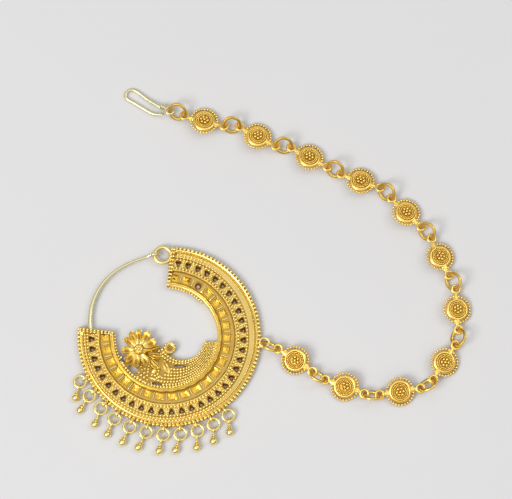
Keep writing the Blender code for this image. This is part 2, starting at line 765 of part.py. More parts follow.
def stand_on_origin():
    """Moves every piece so that the whole box is centred above the origin."""
    depsgraph = bpy.context.evaluated_depsgraph_get()
    solids = [item for item in bpy.data.objects if item.type == "MESH" and not item.hide_render]
    corners = [item.matrix_world @ Vector(corner)
               for item in solids for corner in item.evaluated_get(depsgraph).bound_box]
    low = Vector([min(corner[axis] for corner in corners) for axis in range(3)])
    high = Vector([max(corner[axis] for corner in corners) for axis in range(3)])
    shift = Vector((-(low.x + high.x) / 2, -(low.y + high.y) / 2, -low.z))
    for item in bpy.data.objects:
        item.matrix_world = Matrix.Translation(shift) @ item.matrix_world


def main():
    clear_scene()
    gold = make_material("plate_gold", GOLD, 0.32)
    drop_gold = make_material("drop_gold", GOLD, 0.22)
    chain_gold = make_material("chain_gold", CHAIN_GOLD, 0.3)
    pale_gold = make_material("wire_gold", PALE_GOLD, 0.25)
    build_plate(gold)
    build_nose_wire(pale_gold)
    build_drops(drop_gold)
    build_chain(chain_gold, pale_gold)
    bpy.context.view_layer.update()
    stand_on_origin()


main()
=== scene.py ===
"""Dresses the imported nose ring: granulated plate, ornament, drops, hair chain, hook and a pale stage.

Shapes are made in millimetres round the centre of the plate's outer circle, as the jewel lies,
and are put in their place in metres when each piece is finished.
"""
import math

import bmesh
import bpy
from bpy.props import FloatProperty, FloatVectorProperty, IntProperty, PointerProperty
from mathutils import Matrix, Vector


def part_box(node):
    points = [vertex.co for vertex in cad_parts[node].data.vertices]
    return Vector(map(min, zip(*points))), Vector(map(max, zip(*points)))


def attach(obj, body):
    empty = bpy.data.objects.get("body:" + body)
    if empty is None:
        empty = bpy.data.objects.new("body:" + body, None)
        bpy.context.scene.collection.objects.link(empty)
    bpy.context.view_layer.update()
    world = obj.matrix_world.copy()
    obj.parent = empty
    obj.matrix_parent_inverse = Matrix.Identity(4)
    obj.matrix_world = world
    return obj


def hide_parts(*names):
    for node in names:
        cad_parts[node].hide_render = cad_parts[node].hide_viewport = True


bl_info = {
    "name": "Nose Ring Dresser",
    "version": (1, 0, 0),
    "blender": (4, 5, 0),
    "location": "3D View > Sidebar > Nose Ring",
    "description": "Builds the fine metalwork of a bridal nose ring over its packed solids",
    "category": "Object",
}

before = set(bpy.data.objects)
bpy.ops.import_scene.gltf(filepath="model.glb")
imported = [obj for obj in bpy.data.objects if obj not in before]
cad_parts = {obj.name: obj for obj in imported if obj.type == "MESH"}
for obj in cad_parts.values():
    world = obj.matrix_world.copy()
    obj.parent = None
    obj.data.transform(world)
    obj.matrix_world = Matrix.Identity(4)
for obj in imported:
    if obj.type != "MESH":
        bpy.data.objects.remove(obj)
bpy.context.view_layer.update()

MM = 0.001
UP = Vector((0.0, 0.0, 1.0))
ORIGIN = Vector((0.0, 0.0, 0.0))

# The plate's solid reaches this far right and up from the centre of its outer circle
PLATE_REACH_RIGHT = 26.275
PLATE_REACH_UP = 24.166
PLATE_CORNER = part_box("plate")[1]
TO_WORLD = Matrix.Translation((PLATE_CORNER[0] - PLATE_REACH_RIGHT * MM,
                               PLATE_CORNER[1] - PLATE_REACH_UP * MM, 0.0)) @ Matrix.Scale(MM, 4)

# Plate
PLATE_RADIUS = 24.0
OPENING_RADIUS = 13.5
OPENING_CENTRE = Vector((-0.87, -0.24, 0.0))
BAND_CENTRE = Vector((-0.45, -0.24, 0.0))
STUD_CENTRE = Vector((-0.7, -0.24, 0.0))
PLATE_START = 89.0
PLATE_END = -185.5
PIERCED_RADIUS = 19.85
HOLE_COUNT = 35
HOLE_TOP = 0.98
HOLE_BOTTOM = 0.25
HOLE_MARGIN = 7.0
HOLE_CUT = (-0.2, 1.45)
BLUNTNESS = 0.34
SEAT_CUT = (-0.2, 1.25)
STUD_COUNT = 23
STUD_RADIUS = 15.85
STUD_MARGIN = 6.2
OPEN_STUD = 2
BED_HEIGHT = 1.0
END_BAR_ANGLE = 3.4
END_BAR_TOP = 1.75
END_BAR_REACH = 4.0
END_BAR_BLEND = 0.9
# How much the end bars' ground is darkened: partly patina, partly painted shade between their granules
END_BAR_DARKENING = 0.7
PLATE_STEPS = 276
PATH_STEPS = 220
BAND_START = PLATE_START - END_BAR_ANGLE
BAND_END = PLATE_END + END_BAR_ANGLE
RIM_BEAD_RADIUS = 23.6
RIM_BEAD_HEIGHT = 1.05
RIM_BEAD_MARGIN = 0.8
# Plate bands from the outer wall inwards: radius, height, centre and relief; the relief puts painted shade in
# the grooves and on the bands' ground and a painted highlight on the ridges, over patina
PLATE_BANDS = (
    (23.80, 0.00, ORIGIN, 0.1),
    (23.80, 0.55, ORIGIN, 0.1),
    (23.55, 0.75, ORIGIN, 0.2),
    (23.30, 0.85, ORIGIN, 0.25),
    (23.24, 1.28, ORIGIN, 0.5),
    (23.08, 1.50, ORIGIN, 1.0),
    (22.92, 1.42, ORIGIN, 0.6),
    (22.85, 1.37, ORIGIN, 0.3),
    (22.78, 1.42, ORIGIN, 0.6),
    (22.62, 1.52, ORIGIN, 1.0),
    (22.46, 1.30, ORIGIN, 0.5),
    (22.36, 1.05, ORIGIN, 0.1),
    (22.12, 1.05, ORIGIN, 0.28),
    (21.45, 1.02, BAND_CENTRE, 0.32),
    (21.25, 1.02, BAND_CENTRE, 0.1),
    (21.15, 1.12, BAND_CENTRE, 0.1),
    (21.05, 1.20, BAND_CENTRE, 0.15),
    (20.85, 1.20, BAND_CENTRE, 0.25),
    (19.85, 1.20, BAND_CENTRE, 0.4),
    (18.75, 1.20, BAND_CENTRE, 0.25),
    (18.50, 1.20, BAND_CENTRE, 0.1),
    (18.34, 1.30, BAND_CENTRE, 0.2),
    (18.20, 1.50, BAND_CENTRE, 0.6),
    (18.00, 1.60, BAND_CENTRE, 0.8),
    (17.80, 1.50, BAND_CENTRE, 0.6),
    (17.68, 1.25, BAND_CENTRE, 0.1),
    (17.60, 1.02, BAND_CENTRE, 0.0),
    (17.30, 1.00, BAND_CENTRE, 0.22),
    (15.05, 1.00, STUD_CENTRE, 0.22),
    (14.62, 1.00, OPENING_CENTRE, 0.0),
    (14.56, 1.35, OPENING_CENTRE, 0.2),
    (14.46, 1.62, OPENING_CENTRE, 0.8),
    (14.30, 1.72, OPENING_CENTRE, 1.0),
    (14.14, 1.62, OPENING_CENTRE, 0.8),
    (14.06, 1.45, OPENING_CENTRE, 0.1),
    (13.98, 1.62, OPENING_CENTRE, 0.7),
    (13.82, 1.84, OPENING_CENTRE, 1.0),
    (13.66, 1.78, OPENING_CENTRE, 1.0),
    (13.54, 1.50, OPENING_CENTRE, 0.7),
    (13.50, 1.20, OPENING_CENTRE, 0.4),
    (13.50, 0.00, OPENING_CENTRE, 0.2),
)
# Rows of granules: radius, height, centre, first angle, last angle, and shares of a granule's pitch and size
GRANULE_ROWS = (
    (20.85, 1.3, BAND_CENTRE, BAND_START, BAND_END, 1.0, 1.0),
    (18.55, 1.3, BAND_CENTRE, BAND_START, BAND_END, 1.0, 1.0),
    (21.55, 1.1, BAND_CENTRE, BAND_START, 50, 1.0, 1.0),
    (22.15, 1.1, BAND_CENTRE, BAND_START, 64, 1.0, 1.0),
    (21.5, 1.1, BAND_CENTRE, -40, BAND_END, 1.0, 1.0),
    (22.1, 1.1, BAND_CENTRE, -56, -130, 1.0, 1.0),
    (18.0, 1.58, BAND_CENTRE, BAND_START, BAND_END, 0.4, 0.55),
    (22.16, 1.05, ORIGIN, PLATE_START - 3.6, PLATE_END + 3.6, 0.45, 0.5),
    (13.24, 1.15, OPENING_CENTRE, BAND_END, -147, 0.85, 1.0),
    (13.24, 0.85, OPENING_CENTRE, BAND_START, 46, 0.85, 1.0),
)
# Granules between two holes: radius, share of half the holes' step and share of a granule's size
HOLE_GRANULES = ((20.35, 1.0, 0.9), (19.8, 0.85, 0.8), (19.85, 1.2, 0.75), (19.3, 1.0, 0.95),
                 (19.0, 0.5, 0.7))
HOLE_GRANULE_HEIGHT = 1.28
# Rows across an end bar: turn from the plate's end, and the radii between which they run
END_BAR_ROWS = (0.75, 2.35)
END_BAR_OUTER = 23.2
END_BAR_INNER = 13.9
END_BAR_PITCH = 1.08
END_BAR_GRANULE = 1.1
# Square stud: half its width and its height at each level
STUD_LEVELS = ((1.16, 0.0), (1.16, 0.32), (1.08, 0.38), (1.03, 0.3), (0.98, 0.36), (0.12, 1.5))
OPEN_SEAT_TOP = 0.98
OPEN_SEAT_BOTTOM = 0.33
# Small bar between two studs: its size and its outline in shares of its width and height
STUD_BAR = (1.9, 0.46, 0.5)
BAR_OUTLINE = ((-0.5, 0), (-0.45, 0.6), (-0.22, 0.95), (0.22, 0.95), (0.45, 0.6), (0.5, 0))

# Ornament
FLOWER_CENTRE = Vector((-7.85, -3.6, 0.0))
ORNAMENT_BED = 1.15
FAN_CENTRE = Vector((3.6, -0.8, 0.0))
FAN_RADIUS = 5.5
FAN_END = -5.5
FAN_GRANULE = 0.42
FAN_LEAST_GRANULE = 0.2
GRANULE_SPACING = 1.95
SCROLL_CENTRE = Vector((0.2, -3.1, 0.0))
SCROLL_RADIUS = 1.65
SOLDER_LAP = 0.35
# Petals: direction, length, half width and height of the root
PETALS = (
    (28, 5.1, 1.1, 1.0), (60, 5.4, 1.1, 1.15),
    (90, 5.3, 0.95, 0.8), (116, 5.2, 1.0, 1.1),
    (142, 4.8, 0.95, 0.85), (186, 4.7, 1.15, 1.0),
    (223, 4.8, 1.1, 0.9), (258, 5.1, 1.15, 1.1),
    (299, 5.1, 1.2, 0.95), (343, 3.6, 0.85, 0.75),
)
# Leaves: place, direction, length, width and rise
LEAVES = (
    (-5.8, -4.2, 20, 3.9, 1.5, 1.1),
    (-5.3, -5.2, -8, 4.0, 1.6, 0.95),
    (-5.2, -6.4, -42, 3.6, 1.7, 0.8),
    (-2.3, -6.2, -62, 4.4, 1.9, 0.7),
)
# See-through gaps: place, direction, half length and half width
BED_GAPS = (
    (-9.3, -8.9, -38, 1.7, 1.0),
    (-3.2, -12.6, -8, 1.5, 0.4),
    (2.8, -8.0, -3, 1.8, 0.4),
)
GAP_CUT = (-1.0, 4.0)
GAP_OUTLINE = ((1, 0), (0.4, 1), (-0.5, 0.9), (-1, 0), (-0.4, -1), (0.5, -0.8))
# Granule lines of the fan: share of the way from its inner curve to the lip, first angle
FAN_ROWS = (
    (0.05, -152), (0.13, -150), (0.235, -66), (0.34, -106), (0.45, -101),
    (0.56, -102), (0.67, -107), (0.78, -112), (0.88, -95), (0.97, -149),
)
# Loose granules below the flower: place and radius
CLUSTER = (
    (-8.1, -10.8, 0.4), (-7.2, -10.3, 0.42), (-6.4, -9.7, 0.4), (-7.3, -11.5, 0.4),
    (-6.4, -10.9, 0.42), (-5.6, -10.4, 0.4), (-6.4, -12.1, 0.36), (-5.6, -11.6, 0.4),
    (-4.8, -11.1, 0.4), (-5.4, -9.5, 0.36), (-4.6, -12.4, 0.3), (-12.4, -5.6, 0.4),
    (-13.0, -6.1, 0.4), (-12.6, -6.9, 0.36), (-5.2, -7.9, 0.34), (-7.0, -8.9, 0.36),
    (-6.2, -8.6, 0.34), (-7.8, -9.6, 0.34), (-5.4, -8.7, 0.36), (-5.9, -7.9, 0.3),
    (-7.2, -8.0, 0.34), (-2.9, -8.4, 0.36), (-2.7, -9.2, 0.36), (-2.9, -10.0, 0.36),
    (-3.6, -10.5, 0.36), (-4.4, -10.3, 0.34), (-3.9, -11.4, 0.36), (-3.1, -11.1, 0.36),
    (-2.3, -10.6, 0.34), (-2.2, -5.3, 0.3), (-1.6, -4.5, 0.3),
)
# Turned shapes of the ornament: radius and height
FLOWER_BOSS = ((0, 0.25), (2.3, 0.25), (2.5, 0.9), (1.7, 1.15), (1.15, 1.3), (1.1, 2.05), (0.85, 2.4),
               (0, 2.5))
SCROLL = ((0, 0.2), (1.6, 0.2), (1.6, 1.2), (1.3, 1.45), (0.9, 1.35), (0.6, 0.95), (0, 0.85))
DOME = ((0, 0.8), (0.85, 0.8), (0.88, 1.2), (0.76, 1.6), (0.45, 1.9), (0, 2.02))
DOME_CENTRE = Vector((-3.9, -9.3, 0.0))
# Turned shapes with their sides, centre and the heights between which they turn bright, from painted shade
# low down to the lighter gold on top
TURNED_SHAPES = (
    (FLOWER_BOSS, 28, FLOWER_CENTRE, 1.0, 2.2),
    (SCROLL, 32, SCROLL_CENTRE, 0.9, 1.6),
    (DOME, 24, DOME_CENTRE, 0.7, 1.5),
)
# Circles of granules on them: size, count, radius, centre and height
GRANULE_CIRCLES = (
    (0.36, 10, 1.28, SCROLL_CENTRE, 1.5),
    (0.38, 6, 0.78, FLOWER_CENTRE, 2.42),
    (0.42, 1, 0.0, FLOWER_CENTRE, 2.62),
)
# Petal: share of its length where its bowl is deepest, and where its stem starts
PETAL_BOWL = 0.68
PETAL_STEM = 0.55
PETAL_THICKNESS = 0.25
LEAF_THICKNESS = 0.4
# Rows and columns of the sheets that petals and leaves are made of
SHELL_ROWS, SHELL_COLUMNS = 18, 12

# Rings and wires; the wire values are radii
WIRE_RESOLUTION = 5
CHAIN_RING_RADIUS = 2.15
CHAIN_WIRE = 0.41
EYE_RADIUS = 1.05
EYE_WIRE = 0.35
DROP_RING_RADIUS = 1.55
DROP_RING_WIRE = 0.32
LUG_RADIUS = 0.82
LUG_WIRE = 0.29
LUG_HEIGHT = 1.3
CHAIN_LUG_RADIUS = 1.2
CHAIN_LUG_HEIGHT = 1.5
CHAIN_LUG_ANGLE = -4.0
END_RING_RADIUS = 2.1
END_RING_WIRE = 0.47
END_RING_SEAT = 21.6
END_RING_HEIGHT = 1.4

# Drops
DROP_FIRST_ANGLE = 207.5
DROP_STEP = 9.89
DROP_EYE_RADIUS = 0.68
DROP_EYE_WIRE = 0.26
DROP_AXIS_HEIGHT = 0.97
BALL_RADIUS = 1.0
BALL_DISTANCE = 2.9
DROP_HEADINGS = (255, 238, 250, 246, 246, 244, 256, 254, 268, 270, 275)
# Eye, neck and bell cap of a drop: radius and distance along its axis
DROP_NECK = ((0, DROP_EYE_RADIUS), (0.24, DROP_EYE_RADIUS), (0.26, 1.05), (0.44, 1.12), (0.48, 1.26),
             (0.38, 1.38), (0.34, 1.44), (0.5, 1.58), (0.62, 1.8), (0.68, 2.0), (0.56, 2.06))

# Nose wire
NOSE_ARC_CENTRE = Vector((-4.38, 4.25, 0.0))
NOSE_ARC_RADIUS = 16.3
NOSE_ROOT_SEAT = 20.6
NOSE_ROOT_HEIGHT = 1.0
NOSE_ROOT_WIRE = 0.6
NOSE_TIP_WIRE = 0.36
NOSE_ARC_END = 95.5
SOCKET_DEPTH = 1.3
HOOK_CLEARANCE = 0.15
NOSE_ARC_STEPS = 30
# Angles of the hooked tip round the wire of the end ring
NOSE_HOOK_TURN = (150, 110, 70, 30, -10, -50, -80)

# Medallions: radius and height of their turned body, and its relief at some radii, which puts painted shade
# in its grooves and lighter gold on its ridges
MEDALLION_RADIUS = 3.1
PICOT_RADIUS = 3.52
PICOT_BEAD = 0.35
EYE_DISTANCE = 5.4
CHAIN_HEIGHT = 1.5
MEDALLION_ROLL = 15.0
MEDALLION_PROFILE = (
    (0, -0.35), (2.8, -0.35), (3.05, -0.2), (MEDALLION_RADIUS, 0.0), (3.02, 0.16), (2.86, 0.32), (2.66, 0.44),
    (2.5, 0.48), (2.38, 0.44), (2.28, 0.32), (2.18, 0.4), (2.0, 0.5), (1.84, 0.42), (1.74, 0.36), (1.6, 0.48),
    (1.4, 0.42), (1.25, 0.4), (0.9, 0.5), (0.5, 0.6), (0, 0.66),
)
MEDALLION_RELIEF = (
    (3.2, 0.1), (3.05, 0.3), (2.86, 0.6), (2.5, 0.75), (2.38, 0.4), (2.28, 0.0), (2.0, 0.35), (1.78, 0.0),
    (1.6, 0.35), (1.4, 0.0), (0.0, 0.0),
)
MEDALLION_NECK = ((0, 2.6), (0.95, 2.6), (0.72, 3.4), (0.5, 4.0), (0.4, 4.35), (0, 4.35))
NECK_FLATNESS = 0.42
# Rope lines of a medallion: radius, height and bead
MEDALLION_ROPES = ((2.04, 0.5, 0.22), (1.6, 0.5, 0.2))
CENTRE_GRANULE = 0.4

# Chain: ring heading, ring lean, span between the two eyes, heading of the next piece
CHAIN_ROUTE = (
    (-25, 58, 3.95, -34),
    (-33, 55, 3.95, -20),
    (-4, 55, 3.95, 9),
    (35, 50, 4.10, 57),
    (79, 42, 4.20, 93),
    (115, 42, 4.20, 114),
    (131, 42, 4.20, 135),
    (136, 42, 4.20, 160),
    (152, 42, 4.20, 151),
    (174, 42, 4.20, 151),
    (177, 42, 4.20, 165),
    (160, 42, 4.20, 154),
)

# Hair hook: shares of its length, its width and its rise above the surface
HOOK_LENGTH = 12.6
HOOK_WIDTH = 2.5
HOOK_WIRE = 0.4
HOOK_COLLAR_START = 1.3
HOOK_PATH = (
    (0.08, 0.00, 1.00),
    (0.22, 0.08, 0.80),
    (0.55, -0.15, 0.12),
    (0.80, -0.42, 0.00),
    (0.95, -0.30, 0.00),
    (1.00, 0.25, 0.00),
    (0.93, 0.72, 0.00),
    (0.70, 0.84, 0.00),
    (0.32, 1.02, 0.10),
    (0.11, 0.72, 0.34),
)
# Wound collar of the hook: turns, their pitch, radius and wire
COLLAR_TURNS = 3
COLLAR_PITCH = 0.48
COLLAR_RADIUS = 0.5
COLLAR_WIRE = 0.26

# Photograph: width of its field in millimetres and the point in its middle
FIELD_WIDTH = 134.3
FIELD_CENTRE = Vector((22.64, 23.24, 1.0))
CAMERA_DISTANCE = 0.9
SENSOR_WIDTH = 36.0
# Surface: half its width in metres, and how far it lies below the jewel in millimetres
FLOOR_SIZE = 3.0
FLOOR_GAP = 0.02

# Lights: name, place, size, share of the key light's power and colour
LIGHTS = (
    ("key_light", Vector((-0.75, -0.55, 0.95)), 0.6, 1.0, (1.0, 0.985, 0.96)),
    ("side_light", Vector((0.8, 0.3, 0.9)), 0.4, 0.15, (0.97, 0.98, 1.0)),
)

# Depth of the metals' grain in metres
BUMP_DISTANCE = 0.00005

# Sockets of the Mix node for colours
MIX_A, MIX_B, MIX_RESULT = 6, 7, 2


def color_setting(name, description, color):
    """A colour in a group of settings."""
    return FloatVectorProperty(name=name, description=description, subtype="COLOR", default=color,
                               min=0.0, max=1.0)


class NoseRingSizes(bpy.types.PropertyGroup):
    """Sizes of the fine metalwork."""

    rim_bead: FloatProperty(name="Rim bead", description="Radius of a bead on the plate's rim",
                            default=0.48, min=0.2, max=0.6)
    rim_pitch: FloatProperty(name="Rim pitch", description="Distance between two rim beads",
                             default=1.06, min=0.5, max=2.0)
    granule: FloatProperty(name="Granule", description="Radius of a granule on the pierced band",
                           default=0.35, min=0.1, max=0.5)
    granule_pitch: FloatProperty(name="Granule pitch", description="Distance between two granules",
                                 default=0.88, min=0.3, max=1.5)
    picots: IntProperty(name="Picots", description="Number of beads round a medallion",
                        default=28, min=12, max=48)


class NoseRingFinish(bpy.types.PropertyGroup):
    """Colours of the metal."""

    gold: color_setting("Gold", "Colour of the raised gold", (1.0, 0.80, 0.29))
    # Colour of low and hollow parts: partly patina in the hollows, partly painted shade in grooves, gaps and
    # under things
    patina_and_shade: color_setting("Recess", "Colour of the gold in the recesses", (0.34, 0.165, 0.01))
    chain: color_setting("Chain gold", "Colour of the chain's gold", (1.0, 0.72, 0.19))
    wire: color_setting("Pale wire", "Colour of the nose wire and the hook", (0.87, 0.79, 0.46))


class NoseRingStage(bpy.types.PropertyGroup):
    """Surface and light."""

    floor: color_setting("Floor", "Colour of the surface", (0.665, 0.66, 0.665))
    tilt: FloatProperty(name="Camera tilt", description="Camera's angle from straight above",
                        subtype="ANGLE", unit="ROTATION", default=math.radians(13.0))
    key: FloatProperty(name="Key light", description="Power of the main light in watts",
                       default=9.5, min=0.0)
    fill: FloatProperty(name="Surroundings", description="Strength of the light all round",
                        default=0.98, min=0.0)


def polar(radius, angle, centre=ORIGIN, height=0.0):
    """A point at an angle in degrees round a centre."""
    turn = math.radians(angle)
    return centre + Vector((radius * math.cos(turn), radius * math.sin(turn), height))


def heading(angle):
    """A direction at an angle in degrees."""
    return polar(1.0, angle)


def round_points(count, radius, centre=ORIGIN, height=0.0, first=0.0):
    """Points at even steps round a centre."""
    return [polar(radius, first + 360 * index / count, centre, height) for index in range(count)]


def turned(angle):
    """A turn about Z by an angle in degrees."""
    return Matrix.Rotation(math.radians(angle), 4, "Z")


def axes(origin, across, along, normal):
    """A matrix whose columns are the three directions and whose place is the origin."""
    matrix = Matrix.Identity(4)
    for column, axis in enumerate((across, along, normal)):
        matrix.col[column][:3] = axis
    matrix.col[3][:3] = origin
    return matrix


def moved(bm, matrix):
    bmesh.ops.transform(bm, matrix=matrix, verts=bm.verts)
    return bm


def as_mesh(name, bm):
    """Turns a bmesh into a mesh and frees it."""
    mesh = bpy.data.meshes.new(name)
    bm.to_mesh(mesh)
    bm.free()
    return mesh


def add_mesh(bm, mesh):
    """Adds a mesh to a bmesh with its relief value, and deletes it."""
    bm.from_mesh(mesh)
    bpy.data.meshes.remove(mesh)


def add_bm(bm, piece):
    """Adds one bmesh to another."""
    add_mesh(bm, as_mesh("piece", piece))


def set_relief(bm, low, high, spread=None):
    """Stores how high each point stands in the metal's relief, from 0 in a hollow to 1 on top; low values
    take the darker colour, partly patina and partly painted shade, and high values the lighter gold.
    """
    layer = bm.verts.layers.float.get("relief") or bm.verts.layers.float.new("relief")
    for vert in bm.verts:
        height = vert.co.z if spread is None else spread(vert.co)
        vert[layer] = min(1.0, max(0.0, (height - low) / (high - low)))
    return bm


def scratch_object(name, mesh):
    item = bpy.data.objects.new(name, mesh)
    bpy.context.collection.objects.link(item)
    return item


def evaluated_mesh(item):
    """The plain mesh of an object with its modifiers, which is then deleted."""
    bpy.context.view_layer.update()
    depsgraph = bpy.context.evaluated_depsgraph_get()
    mesh = bpy.data.meshes.new_from_object(item.evaluated_get(depsgraph))
    data = item.data
    bpy.data.objects.remove(item, do_unlink=True)
    if isinstance(data, bpy.types.Mesh):
        bpy.data.meshes.remove(data)
    else:
        bpy.data.curves.remove(data)
    return mesh


def finish_piece(name, bm, material, nodes, sharp=40.0):
    """Puts a piece in its place, shades it, hangs it on the root body and hides the solids that it stands
    for.
    """
    moved(bm, TO_WORLD)
    mesh = as_mesh(name, bm)
    mesh.shade_smooth()
    mesh.set_sharp_from_angle(angle=math.radians(sharp))
    mesh.materials.clear()
    mesh.materials.append(material)
    item = scratch_object(name, mesh)
    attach(item, "root")
    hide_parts(*nodes)


def bridge(bm, loops):
    """Joins each closed loop of points to the next one with quads."""
    count = len(loops[0])
    for first, second in zip(loops, loops[1:]):
        for index in range(count):
            after = (index + 1) % count
            bm.faces.new((first[index], first[after], second[after], second[index]))


def ring(radius, wire, sides, wire_sides):
    """A closed round wire ring about Z."""
    bm = bmesh.new()
    loops = []
    for out in round_points(sides, 1.0):
        loops.append([bm.verts.new(out * (radius + wire * math.cos(math.tau * turn / wire_sides))
                                   + UP * wire * math.sin(math.tau * turn / wire_sides))
                      for turn in range(wire_sides)])
    bridge(bm, loops + loops[:1])
    bmesh.ops.recalc_face_normals(bm, faces=bm.faces)
    return bm


def lathe(profile, sides):
    """Turns (radius, height) points about Z; the first and the last lie on the axis."""
    bm = bmesh.new()
    bottom = bm.verts.new((0, 0, profile[0][1]))
    top = bm.verts.new((0, 0, profile[-1][1]))
    loops = [[bm.verts.new(point) for point in round_points(sides, radius, height=height)]
             for radius, height in profile[1:-1]]
    bridge(bm, loops)
    for step in range(sides):
        after = (step + 1) % sides
        bm.faces.new((bottom, loops[0][after], loops[0][step]))
        bm.faces.new((top, loops[-1][step], loops[-1][after]))
    bmesh.ops.recalc_face_normals(bm, faces=bm.faces)
    return bm


def prism(outline, low, high):
    """A straight prism over an outline."""
    return tapered(outline, outline, low, high)


def tapered(outline, shrunk, low, high):
    """A prism whose outline shrinks from its top to its bottom."""
    bm = bmesh.new()
    loops = [[bm.verts.new((x, y, height)) for x, y in points]
             for points, height in ((shrunk, low), (outline, high))]
    bm.faces.new(loops[0])
    bm.faces.new(loops[1])
    bridge(bm, loops)
    bmesh.ops.recalc_face_normals(bm, faces=bm.faces)
    return bm


def tube(points, radii):
    """A round wire through the points, with a radius at each and filled ends."""
    curve = bpy.data.curves.new("wire", "CURVE")
    curve.dimensions = "3D"
    curve.bevel_depth = 1.0
    curve.bevel_resolution = WIRE_RESOLUTION
    curve.use_fill_caps = True
    spline = curve.splines.new("POLY")
    spline.points.add(len(points) - 1)
    for knot, point, radius in zip(spline.points, points, radii):
        knot.co = (*point, 1.0)
        knot.radius = radius
    bm = bmesh.new()
    add_mesh(bm, evaluated_mesh(scratch_object("wire", curve)))
    bmesh.ops.remove_doubles(bm, verts=bm.verts, dist=1e-5)
    bmesh.ops.recalc_face_normals(bm, faces=bm.faces)
    return bm


def smooth_path(points, steps):
    """Catmull-Rom points between the given ones."""
    ends = [points[0] * 2 - points[1]] + list(points) + [points[-1] * 2 - points[-2]]
    path = []
    for before, first, second, after in zip(ends, ends[1:], ends[2:], ends[3:]):
        for step in range(steps):
            t = step / steps
            path.append(0.5 * (2 * first + (second - before) * t
                               + (2 * before - 5 * first + 4 * second - after) * t ** 2
                               + (3 * first - before - 3 * second + after) * t ** 3))
    path.append(points[-1])
    return path


def cut(bm, cutter):
    """Cuts one bmesh out of another."""
    body = scratch_object("body", as_mesh("body", bm))
    mesh = as_mesh("cutter", cutter)
    tool = scratch_object("cutter", mesh)
    modifier = body.modifiers.new("cut", "BOOLEAN")
    modifier.operation = "DIFFERENCE"
    modifier.solver = "EXACT"
    modifier.object = tool
    result = bmesh.new()
    add_mesh(result, evaluated_mesh(body))
    bpy.data.objects.remove(tool, do_unlink=True)
    bpy.data.meshes.remove(mesh)
    return result


def shell(shape, relief, thickness):
    """A closed sheet over shape(u, v), whose u runs from 0 to 1 and v from -1 to 1."""
    bm = bmesh.new()
    layer = bm.verts.layers.float.new("relief")
    rows, columns = SHELL_ROWS, SHELL_COLUMNS
    sheets = []
    for drop in (0.0, thickness):
        sheet = []
        for row in range(rows + 1):
            line = []
            for column in range(columns + 1):
                u, v = row / rows, 2 * column / columns - 1
                vert = bm.verts.new(shape(u, v) - UP * drop)
                # The under sheet takes painted shade; the top sheet's relief comes from the shape's own
                # function
                vert[layer] = 0.2 if drop else min(1.0, max(0.0, relief(u, v)))
                line.append(vert)
            sheet.append(line)
        sheets.append(sheet)
    for index, sheet in enumerate(sheets):
        for low, high in zip(sheet, sheet[1:]):
            for column in range(columns):
                quad = (low[column], low[column + 1], high[column + 1], high[column])
                bm.faces.new(quad if index == 0 else quad[::-1])
    top, under = sheets
    border = ([(top[0][c], under[0][c]) for c in range(columns + 1)]
              + [(top[r][columns], under[r][columns]) for r in range(1, rows + 1)]
              + [(top[rows][c], under[rows][c]) for c in range(columns - 1, -1, -1)]
              + [(top[r][0], under[r][0]) for r in range(rows - 1, 0, -1)])
    for (first, below), (second, below_next) in zip(border, border[1:] + border[:1]):
        bm.faces.new((first, below, below_next, second))
    bmesh.ops.remove_doubles(bm, verts=bm.verts, dist=1e-4)
    bmesh.ops.dissolve_degenerate(bm, edges=bm.edges, dist=1e-5)
    bmesh.ops.recalc_face_normals(bm, faces=bm.faces)
    return bm


def granule_mesh():
    """One granule of unit radius with few faces."""
    bm = bmesh.new()
    bmesh.ops.create_uvsphere(bm, u_segments=9, v_segments=6, radius=1.0)
    # The granule's underside takes painted shade and its top the lighter gold
    return as_mesh("granule", set_relief(bm, -0.45, 0.75))


def add_sockets(tree, way, rows):
    """Adds named sockets to a node group: name, kind and a value where it has one."""
    for name, kind, *value in rows:
        socket = tree.interface.new_socket(name, in_out=way, socket_type="NodeSocket" + kind)
        if value:
            socket.default_value = value[0]


def add_node(tree, kind, values=(), **settings):
    """Adds a node with its settings and the values of its input sockets."""
    node = tree.nodes.new(kind)
    for name, value in settings.items():
        setattr(node, name, value)
    for socket, value in values:
        node.inputs[socket].default_value = value
    return node


def join_nodes(tree, *rows):
    """Links rows of source node, its output, target node and its input."""
    for source, output, target, socket in rows:
        tree.links.new(source.outputs[output], target.inputs[socket])


def add_copies(tree, start, result):
    """Adds the nodes that copy an object onto points, realize the copies and set their material."""
    info = add_node(tree, "GeometryNodeObjectInfo")
    copies = add_node(tree, "GeometryNodeInstanceOnPoints")
    realize = add_node(tree, "GeometryNodeRealizeInstances")
    material = add_node(tree, "GeometryNodeSetMaterial")
    end = add_node(tree, "NodeGroupOutput")
    join_nodes(tree, (start, "Copy", info, "Object"), (info, "Geometry", copies, "Instance"),
               (copies, "Instances", realize, "Geometry"), (realize, "Geometry", material, "Geometry"),
               (start, "Material", material, "Material"), (material, "Geometry", end, result))
    return copies


def row_tree():
    """Geometry Nodes: copies of an object in a row along a path, turned to follow it."""
    tree = bpy.data.node_groups.get("Row Along Path")
    if tree:
        return tree
    tree = bpy.data.node_groups.new("Row Along Path", "GeometryNodeTree")
    add_sockets(tree, "INPUT", (("Path", "Geometry"), ("Copy", "Object"), ("Pitch", "Float"),
                                ("Size", "Float"), ("Material", "Material")))
    add_sockets(tree, "OUTPUT", (("Row", "Geometry"),))
    start = add_node(tree, "NodeGroupInput")
    curve = add_node(tree, "GeometryNodeMeshToCurve")
    resample = add_node(tree, "GeometryNodeResampleCurve", mode="LENGTH")
    tangent = add_node(tree, "GeometryNodeInputTangent")
    turn = add_node(tree, "FunctionNodeAlignRotationToVector", axis="X", pivot_axis="Z")
    copies = add_copies(tree, start, "Row")
    join_nodes(tree, (start, "Path", curve, "Mesh"), (curve, "Curve", resample, "Curve"),
               (start, "Pitch", resample, "Length"), (tangent, "Tangent", turn, "Vector"),
               (resample, "Curve", copies, "Points"), (turn, "Rotation", copies, "Rotation"),
               (start, "Size", copies, "Scale"))
    return tree


